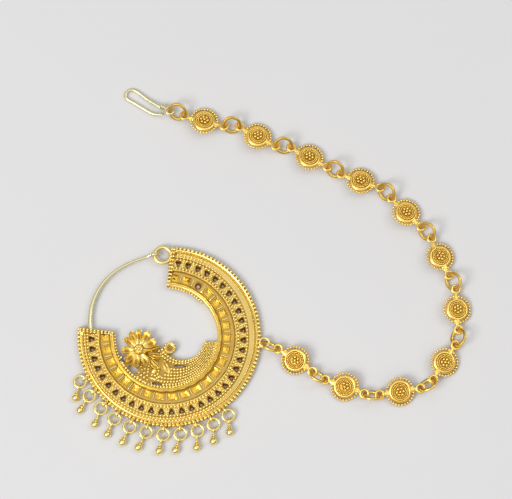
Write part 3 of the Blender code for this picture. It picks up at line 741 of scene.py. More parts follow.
def scatter_tree():
    """Geometry Nodes: a copy of an object on every point, scaled by the point's size value."""
    tree = bpy.data.node_groups.get("Copies On Points")
    if tree:
        return tree
    tree = bpy.data.node_groups.new("Copies On Points", "GeometryNodeTree")
    add_sockets(tree, "INPUT", (("Points", "Geometry"), ("Copy", "Object"), ("Material", "Material")))
    add_sockets(tree, "OUTPUT", (("Copies", "Geometry"),))
    start = add_node(tree, "NodeGroupInput")
    points = add_node(tree, "GeometryNodeMeshToPoints")
    size = add_node(tree, "GeometryNodeInputNamedAttribute", (("Name", "size"),), data_type="FLOAT")
    copies = add_copies(tree, start, "Copies")
    join_nodes(tree, (start, "Points", points, "Mesh"), (points, "Points", copies, "Points"),
               (size, "Attribute", copies, "Scale"))
    return tree


def set_inputs(modifier, values):
    """Sets a modifier's inputs by the identifiers of their sockets."""
    for item in modifier.node_group.interface.items_tree:
        if item.in_out == "INPUT" and item.name in values:
            modifier[item.identifier] = values[item.name]


def add_row(bm, path, copy, pitch, size, material, closed=False):
    """Adds a row of copies along a path to a bmesh."""
    mesh = bpy.data.meshes.new("path")
    edges = [(index, index + 1) for index in range(len(path) - 1)]
    if closed:
        edges.append((len(path) - 1, 0))
    mesh.from_pydata(path, edges, [])
    item = scratch_object("path", mesh)
    modifier = item.modifiers.new("row", "NODES")
    modifier.node_group = row_tree()
    set_inputs(modifier, {"Copy": copy, "Pitch": pitch, "Size": size, "Material": material})
    add_mesh(bm, evaluated_mesh(item))


def add_granules(bm, spots, material):
    """Adds a granule at each (place, radius) to a bmesh."""
    mesh = bpy.data.meshes.new("spots")
    mesh.from_pydata([place for place, radius in spots], [], [])
    layer = mesh.attributes.new("size", "FLOAT", "POINT")
    layer.data.foreach_set("value", [radius for place, radius in spots])
    item = scratch_object("spots", mesh)
    modifier = item.modifiers.new("copies", "NODES")
    modifier.node_group = scatter_tree()
    set_inputs(modifier, {"Copy": granule(), "Material": material})
    add_mesh(bm, evaluated_mesh(item))


def copy_source(name, make_mesh):
    """A hidden object that the rows and fields copy."""
    item = bpy.data.objects.get(name)
    if item is None:
        item = scratch_object(name, make_mesh())
        item.hide_render = True
        item.hide_viewport = True
    return item


def granule():
    return copy_source("granule_source", granule_mesh)


def metal_group():
    """Shader group: a darker colour where the relief value is low, partly patina in the hollows and partly
    painted shade in grooves, gaps and under things, with patchy tone, fine unevenness and duller low parts of
    cast and plated gold.
    """
    tree = bpy.data.node_groups.get("Plated Metal")
    if tree:
        return tree
    tree = bpy.data.node_groups.new("Plated Metal", "ShaderNodeTree")
    add_sockets(tree, "INPUT", (("Top Color", "Color", (0.9, 0.6, 0.2, 1)),
                                ("Recess Color", "Color", (0.6, 0.3, 0.1, 1)),
                                ("Recess Depth", "Float", 1.0), ("Smoothness", "Float", 0.7),
                                ("Grain", "Float", 2500.0)))
    add_sockets(tree, "OUTPUT", (("Color", "Color"), ("Roughness", "Float"), ("Height", "Float")))
    start = add_node(tree, "NodeGroupInput")
    end = add_node(tree, "NodeGroupOutput")
    place = add_node(tree, "ShaderNodeTexCoord")
    relief = add_node(tree, "ShaderNodeAttribute", attribute_name="relief")
    fine = add_node(tree, "ShaderNodeTexNoise", (("Detail", 3.0),))
    patch = add_node(tree, "ShaderNodeTexNoise", (("Scale", 180.0), ("Detail", 2.0)))
    # Low relief values blend towards the darker colour: painted shade in grooves and on undersides, over
    # patina
    lift = add_node(tree, "ShaderNodeMapRange", (("From Min", 0.05), ("From Max", 0.5)),
                    interpolation_type="SMOOTHSTEP")
    uneven = add_node(tree, "ShaderNodeMath", ((1, 0.35),), operation="MULTIPLY_ADD")
    deep = add_node(tree, "ShaderNodeMath", ((0, 1.17),), operation="SUBTRACT", use_clamp=True)
    amount = add_node(tree, "ShaderNodeMath", operation="MULTIPLY", use_clamp=True)
    mix = add_node(tree, "ShaderNodeMix", data_type="RGBA")
    rough = add_node(tree, "ShaderNodeMapRange", (("From Min", 0.3), ("From Max", 0.7)))
    low = add_node(tree, "ShaderNodeMath", ((0, 0.92),), operation="SUBTRACT")
    high = add_node(tree, "ShaderNodeMath", ((1, 0.12),), operation="ADD")
    dull = add_node(tree, "ShaderNodeMath", ((1, 0.2),), operation="MULTIPLY_ADD")
    join_nodes(tree, (place, "Object", fine, "Vector"), (start, "Grain", fine, "Scale"),
               (place, "Object", patch, "Vector"), (relief, "Fac", lift, "Value"),
               (patch, "Fac", uneven, 0), (lift, "Result", uneven, 2), (uneven, "Value", deep, 1),
               (deep, "Value", amount, 0), (start, "Recess Depth", amount, 1),
               (amount, "Value", mix, "Factor"), (start, "Top Color", mix, MIX_A),
               (start, "Recess Color", mix, MIX_B), (mix, MIX_RESULT, end, "Color"),
               (start, "Smoothness", low, 1), (low, "Value", high, 0), (patch, "Fac", rough, "Value"),
               (low, "Value", rough, "To Min"), (high, "Value", rough, "To Max"),
               (amount, "Value", dull, 0), (rough, "Result", dull, 2), (dull, "Value", end, "Roughness"),
               (fine, "Fac", end, "Height"))
    return tree


def metal(name, top, patina_and_shade, depth, smoothness, grain, bump):
    """A plated metal of its own colours over the shared group."""
    material = bpy.data.materials.get(name)
    if material:
        return material
    material = bpy.data.materials.new(name)
    material.use_nodes = True
    tree = material.node_tree
    shader = tree.nodes["Principled BSDF"]
    shader.inputs["Metallic"].default_value = 1.0
    group = add_node(tree, "ShaderNodeGroup",
                     (("Top Color", (*top, 1)), ("Recess Color", (*patina_and_shade, 1)), ("Recess Depth", depth),
                      ("Smoothness", smoothness), ("Grain", grain)),
                     node_tree=metal_group())
    relief = add_node(tree, "ShaderNodeBump", (("Strength", bump), ("Distance", BUMP_DISTANCE)))
    join_nodes(tree, (group, "Color", shader, "Base Color"), (group, "Roughness", shader, "Roughness"),
               (group, "Height", relief, "Height"), (relief, "Normal", shader, "Normal"))
    return material


def plate_gold():
    finish = bpy.context.scene.nose_ring_finish
    return metal("granulated_gold", finish.gold, finish.patina_and_shade, depth=0.9, smoothness=0.66,
                 grain=2600.0, bump=0.35)


def stud_gold():
    finish = bpy.context.scene.nose_ring_finish
    return metal("faceted_gold", finish.gold, finish.patina_and_shade, depth=0.75, smoothness=0.86,
                 grain=2600.0, bump=0.12)


def drop_gold():
    finish = bpy.context.scene.nose_ring_finish
    return metal("polished_gold", finish.gold, finish.patina_and_shade, depth=0.5, smoothness=0.76,
                 grain=2000.0, bump=0.15)


def chain_gold():
    finish = bpy.context.scene.nose_ring_finish
    return metal("stamped_gold", finish.chain, finish.patina_and_shade, depth=0.85, smoothness=0.68,
                 grain=2600.0, bump=0.3)


def pale_wire():
    finish = bpy.context.scene.nose_ring_finish
    # Its low parts take the gold colour as painted shade
    return metal("pale_wire", finish.wire, finish.gold, depth=0.25, smoothness=0.7, grain=1800.0, bump=0.1)


def band_path(radius, height, centre, first, last):
    """A path along a band of the plate."""
    return [polar(radius, first + (last - first) * step / PATH_STEPS, centre, height)
            for step in range(PATH_STEPS + 1)]


def band_angles(count, margin):
    """Even steps from one end of the plate to the other, inside a margin."""
    first = PLATE_START - margin
    last = PLATE_END + margin
    return [first + (last - first) * index / (count - 1) for index in range(count)]


def plate_body():
    """The crescent's relief swept from end to end, with a raised bar across each end."""
    bm = bmesh.new()
    layer = bm.verts.layers.float.new("relief")
    loops = []
    for step in range(PLATE_STEPS + 1):
        angle = PLATE_START + (PLATE_END - PLATE_START) * step / PLATE_STEPS
        from_end = min(PLATE_START - angle, angle - PLATE_END)
        barred = max(0.0, min(1.0, (END_BAR_REACH - from_end) / END_BAR_BLEND))
        loop = []
        for radius, height, centre, relief in PLATE_BANDS:
            raised = height + (max(height, END_BAR_TOP) - height) * barred if height > 1.0 else height
            vert = bm.verts.new(polar(radius, angle, centre, raised))
            # Painted shade in the grooves and on the end bars' ground, lighter gold on the ridges
            vert[layer] = relief * (1 - END_BAR_DARKENING * barred)
            loop.append(vert)
        loops.append(loop)
    bridge(bm, loops)
    for loop in (loops[0], loops[-1]):
        for first, second in zip(loop[:-2], loop[1:-1]):
            bm.faces.new((loop[-1], first, second))
    bmesh.ops.recalc_face_normals(bm, faces=bm.faces)
    return bm


def triangle(centre, size, turn):
    """A triangle with blunt corners round a centre, one of them at the turn."""
    outline = []
    for corner in (0, 120, 240):
        tip = polar(size * (1 - BLUNTNESS), turn + corner, centre)
        outline += [polar(size * BLUNTNESS, turn + corner + side, tip).xy for side in (-50, 0, 50)]
    return outline


def pierced_holes():
    """Blunt triangles that narrow down through the pierced band, and the open stud seat."""
    bm = bmesh.new()
    for angle in band_angles(HOLE_COUNT, HOLE_MARGIN):
        centre = polar(PIERCED_RADIUS, angle, BAND_CENTRE)
        wide, narrow = (triangle(centre, size, angle + 180) for size in (HOLE_TOP, HOLE_BOTTOM))
        add_bm(bm, tapered(wide, narrow, *HOLE_CUT))
    angle = band_angles(STUD_COUNT, STUD_MARGIN)[OPEN_STUD]
    centre = polar(STUD_RADIUS, angle, STUD_CENTRE)
    wide = [point.xy for point in round_points(12, OPEN_SEAT_TOP, centre, first=angle)]
    narrow = [point.xy for point in round_points(12, OPEN_SEAT_BOTTOM, centre, first=angle)]
    add_bm(bm, tapered(wide, narrow, *SEAT_CUT))
    return bm


def stud_mesh():
    """A square stud: low step, four facets and a small flat top, along X of its row."""
    bm = bmesh.new()
    loops = [[bm.verts.new((half * x, half * y, height)) for x, y in ((-1, -1), (1, -1), (1, 1), (-1, 1))]
             for half, height in STUD_LEVELS]
    bridge(bm, loops)
    bm.faces.new(loops[0][::-1])
    bm.faces.new(loops[-1])

    # Painted shade in the groove at the step's edge, and a painted highlight that grows up the facets to the
    # apex and lightens the step
    def relief(place):
        reach = max(abs(place.x), abs(place.y))
        return 0.1 if 1.0 < reach < 1.05 else place.z + 0.45 * (reach > 1.05)

    return as_mesh("stud", set_relief(bm, 0.2, 0.9, relief))


def rounded_bar(length, width, height):
    """A small bar along X with a rounded back."""
    bm = bmesh.new()
    loops = []
    for end, back in ((-0.5, 0.8), (-0.42, 1.0), (0.42, 1.0), (0.5, 0.8)):
        loops.append([bm.verts.new((length * end, width * y, height * z * back)) for y, z in BAR_OUTLINE])
    bridge(bm, loops)
    bm.faces.new(loops[0])
    bm.faces.new(loops[-1])
    bmesh.ops.recalc_face_normals(bm, faces=bm.faces)
    return bm


def build_plate_body():
    bm = cut(plate_body(), pierced_holes())
    finish_piece("plate_relief", bm, plate_gold(), ["plate"], sharp=50.0)


def build_plate_granules():
    """Beaded rim, granules of the pierced band and of the two end bars."""
    sizes = bpy.context.scene.nose_ring_sizes
    gold = plate_gold()
    bm = bmesh.new()
    rim = band_path(RIM_BEAD_RADIUS, RIM_BEAD_HEIGHT, ORIGIN, PLATE_START - RIM_BEAD_MARGIN,
                    PLATE_END + RIM_BEAD_MARGIN)
    add_row(bm, rim, granule(), sizes.rim_pitch, sizes.rim_bead, gold)
    for *row, pitch, size in GRANULE_ROWS:
        add_row(bm, band_path(*row), granule(), sizes.granule_pitch * pitch, sizes.granule * size, gold)
    spots = []
    angles = band_angles(HOLE_COUNT, HOLE_MARGIN)
    half = (angles[0] - angles[1]) / 2
    for angle in angles + [angles[0] + 2 * half]:
        for radius, shift, size in HOLE_GRANULES:
            place = polar(radius, angle - half * shift, BAND_CENTRE, HOLE_GRANULE_HEIGHT)
            spots.append((place, sizes.granule * size))
    for end, inward in ((PLATE_START, -1), (PLATE_END, 1)):
        for turn in END_BAR_ROWS:
            angle = end + inward * turn
            first = polar(END_BAR_OUTER, angle, height=END_BAR_TOP)
            last = polar(END_BAR_INNER, angle, OPENING_CENTRE, END_BAR_TOP)
            count = round((first - last).length / (sizes.granule_pitch * END_BAR_PITCH))
            spots += [(first.lerp(last, index / count), sizes.granule * END_BAR_GRANULE)
                      for index in range(count + 1)]
    add_granules(bm, spots, gold)
    finish_piece("plate_granulation", bm, gold, ["plate"])


def build_studs():
    """The row of faceted square studs, with one seat left open."""
    gold = stud_gold()
    stud = copy_source("stud_source", stud_mesh)
    angles = band_angles(STUD_COUNT, STUD_MARGIN)
    bm = bmesh.new()
    for first, second in zip(angles, angles[1:]):
        turn = (first + second) / 2
        # The bar is darker low down and lighter on its back: painted shade
        bar = set_relief(moved(rounded_bar(*STUD_BAR), turned(turn)), 0.05, 0.45)
        centre = polar(STUD_RADIUS + 0.05, turn, STUD_CENTRE, BED_HEIGHT - 0.05)
        add_bm(bm, moved(bar, Matrix.Translation(centre)))
    chord = 2 * STUD_RADIUS * math.sin(math.radians(angles[0] - angles[1]) / 2)
    for group in (angles[:OPEN_STUD], angles[OPEN_STUD + 1:]):
        path = [polar(STUD_RADIUS, angle, STUD_CENTRE, BED_HEIGHT - 0.05) for angle in group]
        add_row(bm, path, stud, chord * 0.9999, 1.0, gold)
    finish_piece("plate_studs", bm, gold, ["plate"], sharp=20.0)


def lug_reach(radius):
    """Distance of a lug's centre from the plate's, with its wire lapped into the rim."""
    return PLATE_RADIUS + radius - SOLDER_LAP


def chain_start():
    return polar(lug_reach(CHAIN_LUG_RADIUS), CHAIN_LUG_ANGLE, height=CHAIN_LUG_HEIGHT)


def end_ring_centre():
    reach = END_RING_RADIUS + END_RING_WIRE - SOLDER_LAP
    return polar(END_RING_SEAT, PLATE_START) + heading(PLATE_START + 90) * reach


def build_lugs():
    """Lugs for the drops, the chain's lug and the end ring, soldered to the plate."""
    bm = bmesh.new()
    reach = lug_reach(LUG_RADIUS)
    for index in range(len(DROP_HEADINGS)):
        out = heading(DROP_FIRST_ANGLE + DROP_STEP * index)
        place = axes(out * reach + UP * LUG_HEIGHT, out, UP, out.cross(UP))
        add_bm(bm, moved(ring(LUG_RADIUS, LUG_WIRE, 28, 10), place))
    add_bm(bm, moved(ring(CHAIN_LUG_RADIUS, EYE_WIRE, 32, 12), Matrix.Translation(chain_start())))
    place = Matrix.Translation(end_ring_centre() + UP * END_RING_HEIGHT)
    add_bm(bm, moved(ring(END_RING_RADIUS, END_RING_WIRE, 48, 14), place))
    # Lower parts of the lugs and rings take painted shade
    set_relief(bm, 0.2, 1.3)
    finish_piece("plate_lugs", bm, plate_gold(), ["plate"])


def fan_place(share, angle, height=0.0):
    """A point of the fan, between its inner curve and the lip of the opening."""
    centre = FAN_CENTRE.lerp(OPENING_CENTRE, share)
    return polar(FAN_RADIUS + (OPENING_RADIUS - FAN_RADIUS) * share, angle, centre, height)


def ornament_bed():
    """The ornament's flat ground with its see-through gaps."""
    lap = OPENING_RADIUS + SOLDER_LAP
    outer = [polar(lap, angle, OPENING_CENTRE) for angle in range(-6, -148, -3)]
    inner = [fan_place(0.0, angle) for angle in range(-150, -4, 4)]
    flower = [polar(2.7, angle, FLOWER_CENTRE) for angle in (220, 260, 300, 350)]
    scroll = [polar(SCROLL_RADIUS, angle, SCROLL_CENTRE) for angle in (200, 250)]
    bed = prism([point.xy for point in outer + flower + scroll + inner], 0.0, ORNAMENT_BED)
    gaps = bmesh.new()
    for x, y, turn, length, width in BED_GAPS:
        along = heading(turn) * length
        across = heading(turn + 90) * width
        centre = Vector((x, y, 0))
        outline = [(centre + along * u + across * v).xy for u, v in GAP_OUTLINE]
        add_bm(gaps, prism(outline, *GAP_CUT))
    return cut(bed, gaps)


def petal(turn, length, width, root):
    """A petal like a small scoop: a stem, a bowl with painted shade in its hollow and a painted highlight on
    its raised edge.
    """

    def hollow(u, v):
        if u > PETAL_BOWL:
            away = (u - PETAL_BOWL) / (1 - PETAL_BOWL)
        else:
            away = (PETAL_BOWL - u) / PETAL_BOWL * 1.35
        return min(1.0, (away * away + v * v)) ** 1.4

    def shape(u, v):
        round_end = math.sqrt(max(0.0, 1 - max(0.0, (u - PETAL_BOWL) / (1 - PETAL_BOWL)) ** 2.2))
        swell = 0.26 + 0.62 * math.sin(math.pi / 2 * min(1.0, u / PETAL_BOWL)) ** 1.5
        half = width * swell * max(0.05, round_end)
        lift = root + 0.35 * math.sin(u * math.pi * 0.5) + hollow(u, v) * min(1.0, 0.2 + u * 1.2)
        return Vector((PETAL_STEM + (length - PETAL_STEM) * u, half * v, lift))

    # Relief of the petal: painted shade in the hollow, painted highlight towards the raised edge
    def relief(u, v):
        return (hollow(u, v) - 0.03) / 0.26 * min(1.0, max(0.0, u * 2.2 - 0.35))

    bm = shell(shape, relief, PETAL_THICKNESS)
    return moved(bm, Matrix.Translation(FLOWER_CENTRE) @ turned(turn))


def folded_leaf(x, y, turn, length, width, rise):
    """A leaf with a raised vein, raised edges and painted shade in the fold between them."""

    def fold(v):
        return 0.5 + 0.5 * math.cos(v * math.tau)

    def shape(u, v):
        half = width / 2 * math.sin(math.pi * (0.1 + 0.86 * u)) ** 0.8 * (1 + 0.1 * math.cos(u * 22))
        bend = 0.3 * length * (u - 0.5) ** 2
        height = 0.35 + rise * math.sin(math.pi * (0.15 + 0.8 * u)) * (0.4 + 0.6 * fold(v))
        return Vector((length * u, half * v + bend, ORNAMENT_BED - 0.2 + height))

    # The fold takes painted shade, the vein and edges the lighter gold
    bm = shell(shape, lambda u, v: fold(v), LEAF_THICKNESS)
    return moved(bm, Matrix.Translation((x, y, 0)) @ turned(turn))


def fan_granules():
    """Granules of the fan's lines, smaller where the lines draw together."""
    spots = []
    for share, first in FAN_ROWS:
        angle = first
        while angle < FAN_END:
            gap = (fan_place(share + 0.05, angle) - fan_place(share - 0.05, angle)).length
            radius = min(FAN_GRANULE, max(FAN_LEAST_GRANULE, gap * 0.5))
            spots.append((fan_place(share, angle, ORNAMENT_BED + 0.12), radius))
            reach = FAN_RADIUS + (OPENING_RADIUS - FAN_RADIUS) * share
            angle += math.degrees(radius * GRANULE_SPACING / reach)
    return spots


def build_ornament():
    """Flower, leaves, scroll and granule lines inside the opening."""
    gold = plate_gold()
    # The bed's ground takes painted shade; the turned shapes are lighter higher up
    bm = set_relief(ornament_bed(), 0.9, 2.6)
    for profile, sides, centre, low, high in TURNED_SHAPES:
        turning = moved(lathe(profile, sides), Matrix.Translation(centre))
        add_bm(bm, set_relief(turning, low, high))
    for row in PETALS:
        add_bm(bm, petal(*row))
    for row in LEAVES:
        add_bm(bm, folded_leaf(*row))
    spots = fan_granules()
    for radius, *circle in GRANULE_CIRCLES:
        spots += [(place, radius) for place in round_points(*circle)]
    spots += [(Vector((x, y, ORNAMENT_BED + 0.15)), radius) for x, y, radius in CLUSTER]
    add_granules(bm, spots, gold)
    finish_piece("inner_ornament", bm, gold, ["plate"])


def nose_root_angle():
    offset = polar(NOSE_ROOT_SEAT, PLATE_END) - NOSE_ARC_CENTRE
    return math.degrees(math.atan2(offset.y, offset.x)) % 360


def build_nose_wire():
    """Tapered wire from the socket to a hook over the end ring."""
    root = nose_root_angle() + math.degrees((SOCKET_DEPTH - 0.05) / NOSE_ARC_RADIUS)
    wrap = END_RING_WIRE + NOSE_TIP_WIRE + HOOK_CLEARANCE
    side = end_ring_centre() + Vector((-END_RING_RADIUS, 0, END_RING_HEIGHT))
    knots = []
    for step in range(NOSE_ARC_STEPS + 1):
        share = step / NOSE_ARC_STEPS
        height = NOSE_ROOT_HEIGHT + (END_RING_HEIGHT - NOSE_ROOT_HEIGHT) * share
        knot = polar(NOSE_ARC_RADIUS, root + (NOSE_ARC_END - root) * share, NOSE_ARC_CENTRE, height)
        knots.append(knot + Vector((0, 0.6 * max(0.0, share * 4 - 3) ** 2, 0)))
    for angle in NOSE_HOOK_TURN:
        turn = math.radians(angle)
        knots.append(side + Vector((wrap * math.cos(turn), 0, wrap * math.sin(turn))))
    points = smooth_path(knots, 4)
    taper = NOSE_TIP_WIRE - NOSE_ROOT_WIRE
    radii = [NOSE_ROOT_WIRE + taper * min(1.0, index / (4 * NOSE_ARC_STEPS))
             for index in range(len(points))]
    # The wire's lower parts take painted shade
    bm = set_relief(tube(points, radii), -0.4, 0.9)
    finish_piece("nose_wire_look", bm, pale_wire(), ["nose_wire"])


def drop_profile():
    """Neck, bell cap and ball along the drop's axis."""
    profile = list(DROP_NECK)
    for angle in range(40, 180, 10):
        turn = math.radians(angle)
        profile.append((BALL_RADIUS * math.sin(turn), BALL_DISTANCE - BALL_RADIUS * math.cos(turn)))
    profile.append((0, BALL_DISTANCE + BALL_RADIUS))
    return profile


def build_drops():
    """Each drop ring and each drop, over its own solid."""
    gold = drop_gold()
    reach = lug_reach(LUG_RADIUS) + DROP_RING_RADIUS
    for index, turn in enumerate(DROP_HEADINGS):
        out = heading(DROP_FIRST_ANGLE + DROP_STEP * index)
        hang = heading(turn)
        fall = (LUG_HEIGHT - DROP_AXIS_HEIGHT) / (DROP_RING_RADIUS * (1 + out.dot(hang)))
        normal = (UP + out * fall).normalized()
        along = (out - normal * out.dot(normal)).normalized()
        centre = out * reach + UP * (LUG_HEIGHT - fall * DROP_RING_RADIUS)
        # Each drop ring's underside takes painted shade
        loop = moved(set_relief(ring(DROP_RING_RADIUS, DROP_RING_WIRE, 36, 10), -0.4, 0.2),
                     axes(centre, along, normal.cross(along), normal))
        number = f"{index + 1:02d}"
        finish_piece(f"drop_ring_look_{number}", loop, gold, [f"drop_ring_{number}"])
        eye = centre + hang * DROP_RING_RADIUS
        eye.z = DROP_AXIS_HEIGHT
        side = hang.cross(UP)
        drop = moved(lathe(drop_profile(), 24), axes(eye, UP, side * -1, hang))
        add_bm(drop, moved(ring(DROP_EYE_RADIUS, DROP_EYE_WIRE, 28, 10), axes(eye, hang, UP, side)))
        # The drop's lower part takes painted shade
        set_relief(drop, 0.1, 1.2)
        finish_piece(f"drop_look_{number}", drop, gold, [f"drop_{number}"])


def ring_relief(place):
    """Relief of a medallion's turned body at a place, read from its table."""
    reach = math.hypot(place.x, place.y)
    for (outer, first), (inner, second) in zip(MEDALLION_RELIEF, MEDALLION_RELIEF[1:]):
        if inner <= reach <= outer:
            return second + (first - second) * (reach - inner) / (outer - inner)
    return 0.0


def medallion_master():
    """One medallion in millimetres, lying flat with its chain along X."""
    sizes = bpy.context.scene.nose_ring_sizes
    gold = chain_gold()
    # The body's relief, from its table, paints shade in the grooves and lightens the ridges
    bm = set_relief(lathe(MEDALLION_PROFILE, 56), 0.0, 1.0, ring_relief)
    for side in (-1, 1):
        eye = moved(ring(EYE_RADIUS, EYE_WIRE, 28, 10), Matrix.Translation((side * EYE_DISTANCE, 0, 0)))
        # Eyes and necks take painted shade low down
        add_bm(bm, set_relief(eye, -0.5, 0.2))
        neck = lathe(MEDALLION_NECK, 14)
        for vert in neck.verts:
            vert.co.x *= NECK_FLATNESS
        moved(neck, Matrix.Rotation(side * math.pi / 2, 4, "Y"))
        add_bm(bm, set_relief(neck, -0.3, 0.35))
    picot_pitch = math.tau * PICOT_RADIUS / sizes.picots
    add_row(bm, round_points(112, PICOT_RADIUS), granule(), picot_pitch, PICOT_BEAD, gold, closed=True)
    for radius, height, bead in MEDALLION_ROPES:
        circle = round_points(90, radius, height=height)
        add_row(bm, circle, granule(), bead * 1.9, bead, gold, closed=True)
    spots = [Vector((0, 0, 0.92))] + round_points(6, 0.86, height=0.72)
    add_granules(bm, [(place, CENTRE_GRANULE) for place in spots], gold)
    return as_mesh("medallion_master", bm)


def rolled(direction):
    """Directions along and across a rolled chain piece, and its normal."""
    roll = math.radians(MEDALLION_ROLL)
    across = (direction.cross(UP) * math.cos(roll) - UP * math.sin(roll)) * -1
    return direction, across, direction.cross(across)


def leaning_ring(first, second, lean):
    """A jump ring through two eyes, leaning out over the right of the chain."""
    chord = second - first
    span = chord.length
    chord.normalize()
    right = chord.cross(UP).normalized()
    upward = right.cross(chord)
    rise = right * math.cos(math.radians(lean)) + upward * math.sin(math.radians(lean))
    centre = (first + second) / 2 + rise * math.sqrt(CHAIN_RING_RADIUS ** 2 - (span / 2) ** 2)
    # The ring's underside takes painted shade
    loop = set_relief(ring(CHAIN_RING_RADIUS, CHAIN_WIRE, 44, 12), -0.5, 0.25)
    return moved(loop, axes(centre, chord, rise, chord.cross(rise)))


def chain_places():
    """Both ends of each ring and the place and direction of what it leads to."""
    eye = chain_start()
    places = []
    for ring_heading, lean, span, next_heading in CHAIN_ROUTE:
        reached = eye + heading(ring_heading) * span
        reached.z = CHAIN_HEIGHT
        direction = heading(next_heading)
        places.append((eye, reached, lean, direction))
        eye = reached + direction * EYE_DISTANCE * 2
    return places


def build_chain():
    """Jump rings and medallions, each over its own solid."""
    gold = chain_gold()
    master = medallion_master()
    places = chain_places()
    for index, (first, second, lean, direction) in enumerate(places):
        number = f"{index + 1:02d}"
        loop = leaning_ring(first, second, lean)
        finish_piece(f"chain_ring_look_{number}", loop, gold, [f"chain_ring_{number}"])
        if index == len(places) - 1:
            break
        bm = bmesh.new()
        bm.from_mesh(master)
        moved(bm, axes(second + direction * EYE_DISTANCE, *rolled(direction)))
        finish_piece(f"medallion_look_{number}", bm, gold, [f"medallion_{number}"])
    bpy.data.meshes.remove(master)


def build_hair_hook():
    """Eye, wound collar and bent wire of the hair hook."""
    eye, direction = chain_places()[-1][1::2]
    across = direction.cross(UP) * -1
    floor = HOOK_WIRE + 0.02
    knots = [eye + direction * HOOK_LENGTH * along + across * HOOK_WIDTH * side
             + UP * ((floor - eye.z) * (1 - height)) for along, side, height in HOOK_PATH]
    points = smooth_path(knots, 8)
    radii = [HOOK_WIRE * (1 - 0.25 * max(0.0, index / len(points) - 0.8) / 0.2)
             for index in range(len(points))]
    bm = tube(points, radii)
    add_bm(bm, moved(ring(EYE_RADIUS, EYE_WIRE, 32, 10), axes(eye, *rolled(direction))))
    for turn in range(COLLAR_TURNS):
        start = eye + direction * (HOOK_COLLAR_START + 0.25 + COLLAR_PITCH * turn)
        start.z = eye.z - 0.1 * turn - 0.02
        add_bm(bm, moved(ring(COLLAR_RADIUS, COLLAR_WIRE, 24, 8), axes(start, across, UP, direction)))
    # The hook's lower parts take painted shade
    set_relief(bm, -0.3, 0.9)
    finish_piece("hair_hook_look", bm, pale_wire(), ["hair_hook"])


def floor_material(color):
    """A pale painted surface with a hardly visible unevenness."""
    material = bpy.data.materials.new("pale_surface")
    material.use_nodes = True
    tree = material.node_tree
    shader = tree.nodes["Principled BSDF"]
    shader.inputs["Roughness"].default_value = 0.6
    shader.inputs["Specular IOR Level"].default_value = 0.25
    place = add_node(tree, "ShaderNodeTexCoord")
    noise = add_node(tree, "ShaderNodeTexNoise", (("Scale", 14.0), ("Detail", 2.0)))
    tint = add_node(tree, "ShaderNodeMapRange", (("To Min", 0.985), ("To Max", 1.015)))
    mix = add_node(tree, "ShaderNodeMix", ((0, 1.0), (MIX_A, (*color, 1))),
                   data_type="RGBA", blend_type="MULTIPLY")
    join_nodes(tree, (place, "Object", noise, "Vector"), (noise, "Fac", tint, "Value"),
               (tint, "Result", mix, MIX_B), (mix, MIX_RESULT, shader, "Base Color"))
    return material


def build_floor():
    """A wide surface just below the jewel."""
    bm = bmesh.new()
    bmesh.ops.create_grid(bm, x_segments=1, y_segments=1, size=FLOOR_SIZE)
    mesh = as_mesh("pale_floor", bm)
    mesh.materials.append(floor_material(bpy.context.scene.nose_ring_stage.floor))
    floor = scratch_object("pale_floor", mesh)
    floor.location.z = -FLOOR_GAP * MM


def aim(item, place, target):
    """Puts a light or the camera at a place and turns it to a target."""
    item.location = place
    item.rotation_euler = (target - place).to_track_quat("-Z", "Y").to_euler()


def build_lights():
    """Soft square lights, an even surrounding that is darker near the horizon, and plain colours."""
    scene = bpy.context.scene
    stage = scene.nose_ring_stage
    for name, place, size, share, color in LIGHTS:
        data = bpy.data.lights.new(name, "AREA")
        data.shape = "SQUARE"
        data.size = size
        data.energy = stage.key * share
        data.color = color
        aim(scratch_object(name, data), place, ORIGIN)
    scene.view_settings.view_transform = "Standard"
    scene.world = scene.world or bpy.data.worlds.new("surroundings")
    scene.world.use_nodes = True
    tree = scene.world.node_tree
    background = tree.nodes["Background"]
    background.inputs["Strength"].default_value = stage.fill
    place = add_node(tree, "ShaderNodeTexCoord")
    split = add_node(tree, "ShaderNodeSeparateXYZ")
    height = add_node(tree, "ShaderNodeMapRange", (("From Min", 0.1), ("From Max", 0.9), ("To Min", 0.08)))
    join_nodes(tree, (place, "Generated", split, "Vector"), (split, "Z", height, "Value"),
               (height, "Result", background, "Color"))


def build_camera():
    """A long lens that looks down at the jewel as in the photograph."""
    stage = bpy.context.scene.nose_ring_stage
    target = TO_WORLD @ FIELD_CENTRE
    back = Vector((0, -math.sin(stage.tilt), math.cos(stage.tilt)))
    data = bpy.data.cameras.new("camera")
    data.sensor_width = SENSOR_WIDTH
    data.lens = SENSOR_WIDTH * CAMERA_DISTANCE / (FIELD_WIDTH * MM)
    data.clip_start = 0.05
    camera = scratch_object("camera", data)
    aim(camera, target + back * CAMERA_DISTANCE, target)
    bpy.context.scene.camera = camera


class NOSERING_OT_plate(bpy.types.Operator):
    """Build the pierced plate with its studs, granules and lugs"""

    bl_idname = "nosering.plate"
    bl_label = "Build Plate"

    def execute(self, context):
        build_plate_body()
        build_plate_granules()
        build_studs()
        build_lugs()
        return {"FINISHED"}


class NOSERING_OT_ornament(bpy.types.Operator):
    """Build the flower, leaves and granule lines inside the opening"""

    bl_idname = "nosering.ornament"
    bl_label = "Build Ornament"

    def execute(self, context):
        build_ornament()
        return {"FINISHED"}


class NOSERING_OT_nose_wire(bpy.types.Operator):
    """Build the tapered nose wire"""

    bl_idname = "nosering.nose_wire"
    bl_label = "Build Nose Wire"

    def execute(self, context):
        build_nose_wire()
        return {"FINISHED"}


class NOSERING_OT_drops(bpy.types.Operator):
    """Build the drops and their rings"""

    bl_idname = "nosering.drops"
    bl_label = "Build Drops"

    def execute(self, context):
        build_drops()
        return {"FINISHED"}


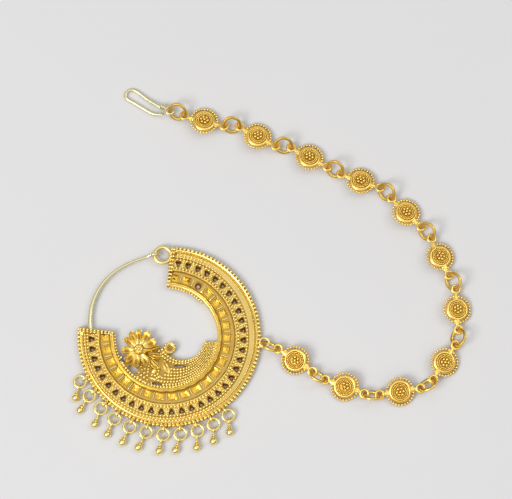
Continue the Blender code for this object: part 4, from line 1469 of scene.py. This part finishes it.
class NOSERING_OT_chain(bpy.types.Operator):
    """Build the medallions and jump rings of the hair chain"""

    bl_idname = "nosering.chain"
    bl_label = "Build Chain"

    def execute(self, context):
        build_chain()
        return {"FINISHED"}


class NOSERING_OT_hair_hook(bpy.types.Operator):
    """Build the hair hook"""

    bl_idname = "nosering.hair_hook"
    bl_label = "Build Hair Hook"

    def execute(self, context):
        build_hair_hook()
        return {"FINISHED"}


class NOSERING_OT_stage(bpy.types.Operator):
    """Build the pale surface, the lights and the camera"""

    bl_idname = "nosering.stage"
    bl_label = "Build Stage"

    def execute(self, context):
        build_floor()
        build_lights()
        build_camera()
        return {"FINISHED"}


OPERATORS = (NOSERING_OT_plate, NOSERING_OT_ornament, NOSERING_OT_nose_wire, NOSERING_OT_drops,
             NOSERING_OT_chain, NOSERING_OT_hair_hook, NOSERING_OT_stage)


class NOSERING_PT_panel(bpy.types.Panel):
    """Sizes, colours and build steps of the nose ring"""

    bl_label = "Nose Ring"
    bl_idname = "NOSERING_PT_panel"
    bl_space_type = "VIEW_3D"
    bl_region_type = "UI"
    bl_category = "Nose Ring"

    def draw(self, context):
        column = self.layout.column()
        for group in ("nose_ring_sizes", "nose_ring_finish", "nose_ring_stage"):
            settings = getattr(context.scene, group)
            for name in settings.__annotations__:
                column.prop(settings, name)
        for operator in OPERATORS:
            column.operator(operator.bl_idname)


PROPERTY_GROUPS = (("nose_ring_sizes", NoseRingSizes), ("nose_ring_finish", NoseRingFinish),
                   ("nose_ring_stage", NoseRingStage))


def register():
    for name, group in PROPERTY_GROUPS:
        bpy.utils.register_class(group)
        setattr(bpy.types.Scene, name, PointerProperty(type=group))
    for operator in OPERATORS:
        bpy.utils.register_class(operator)
    bpy.utils.register_class(NOSERING_PT_panel)


def unregister():
    bpy.utils.unregister_class(NOSERING_PT_panel)
    for operator in reversed(OPERATORS):
        bpy.utils.unregister_class(operator)
    for name, group in reversed(PROPERTY_GROUPS):
        delattr(bpy.types.Scene, name)
        bpy.utils.unregister_class(group)


def main():
    register()
    bpy.ops.nosering.stage()
    bpy.ops.nosering.plate()
    bpy.ops.nosering.ornament()
    bpy.ops.nosering.nose_wire()
    bpy.ops.nosering.drops()
    bpy.ops.nosering.chain()
    bpy.ops.nosering.hair_hook()
    for name in ("granule_source", "stud_source"):
        bpy.data.objects.remove(bpy.data.objects[name], do_unlink=True)


if __name__ == "__main__":
    main()
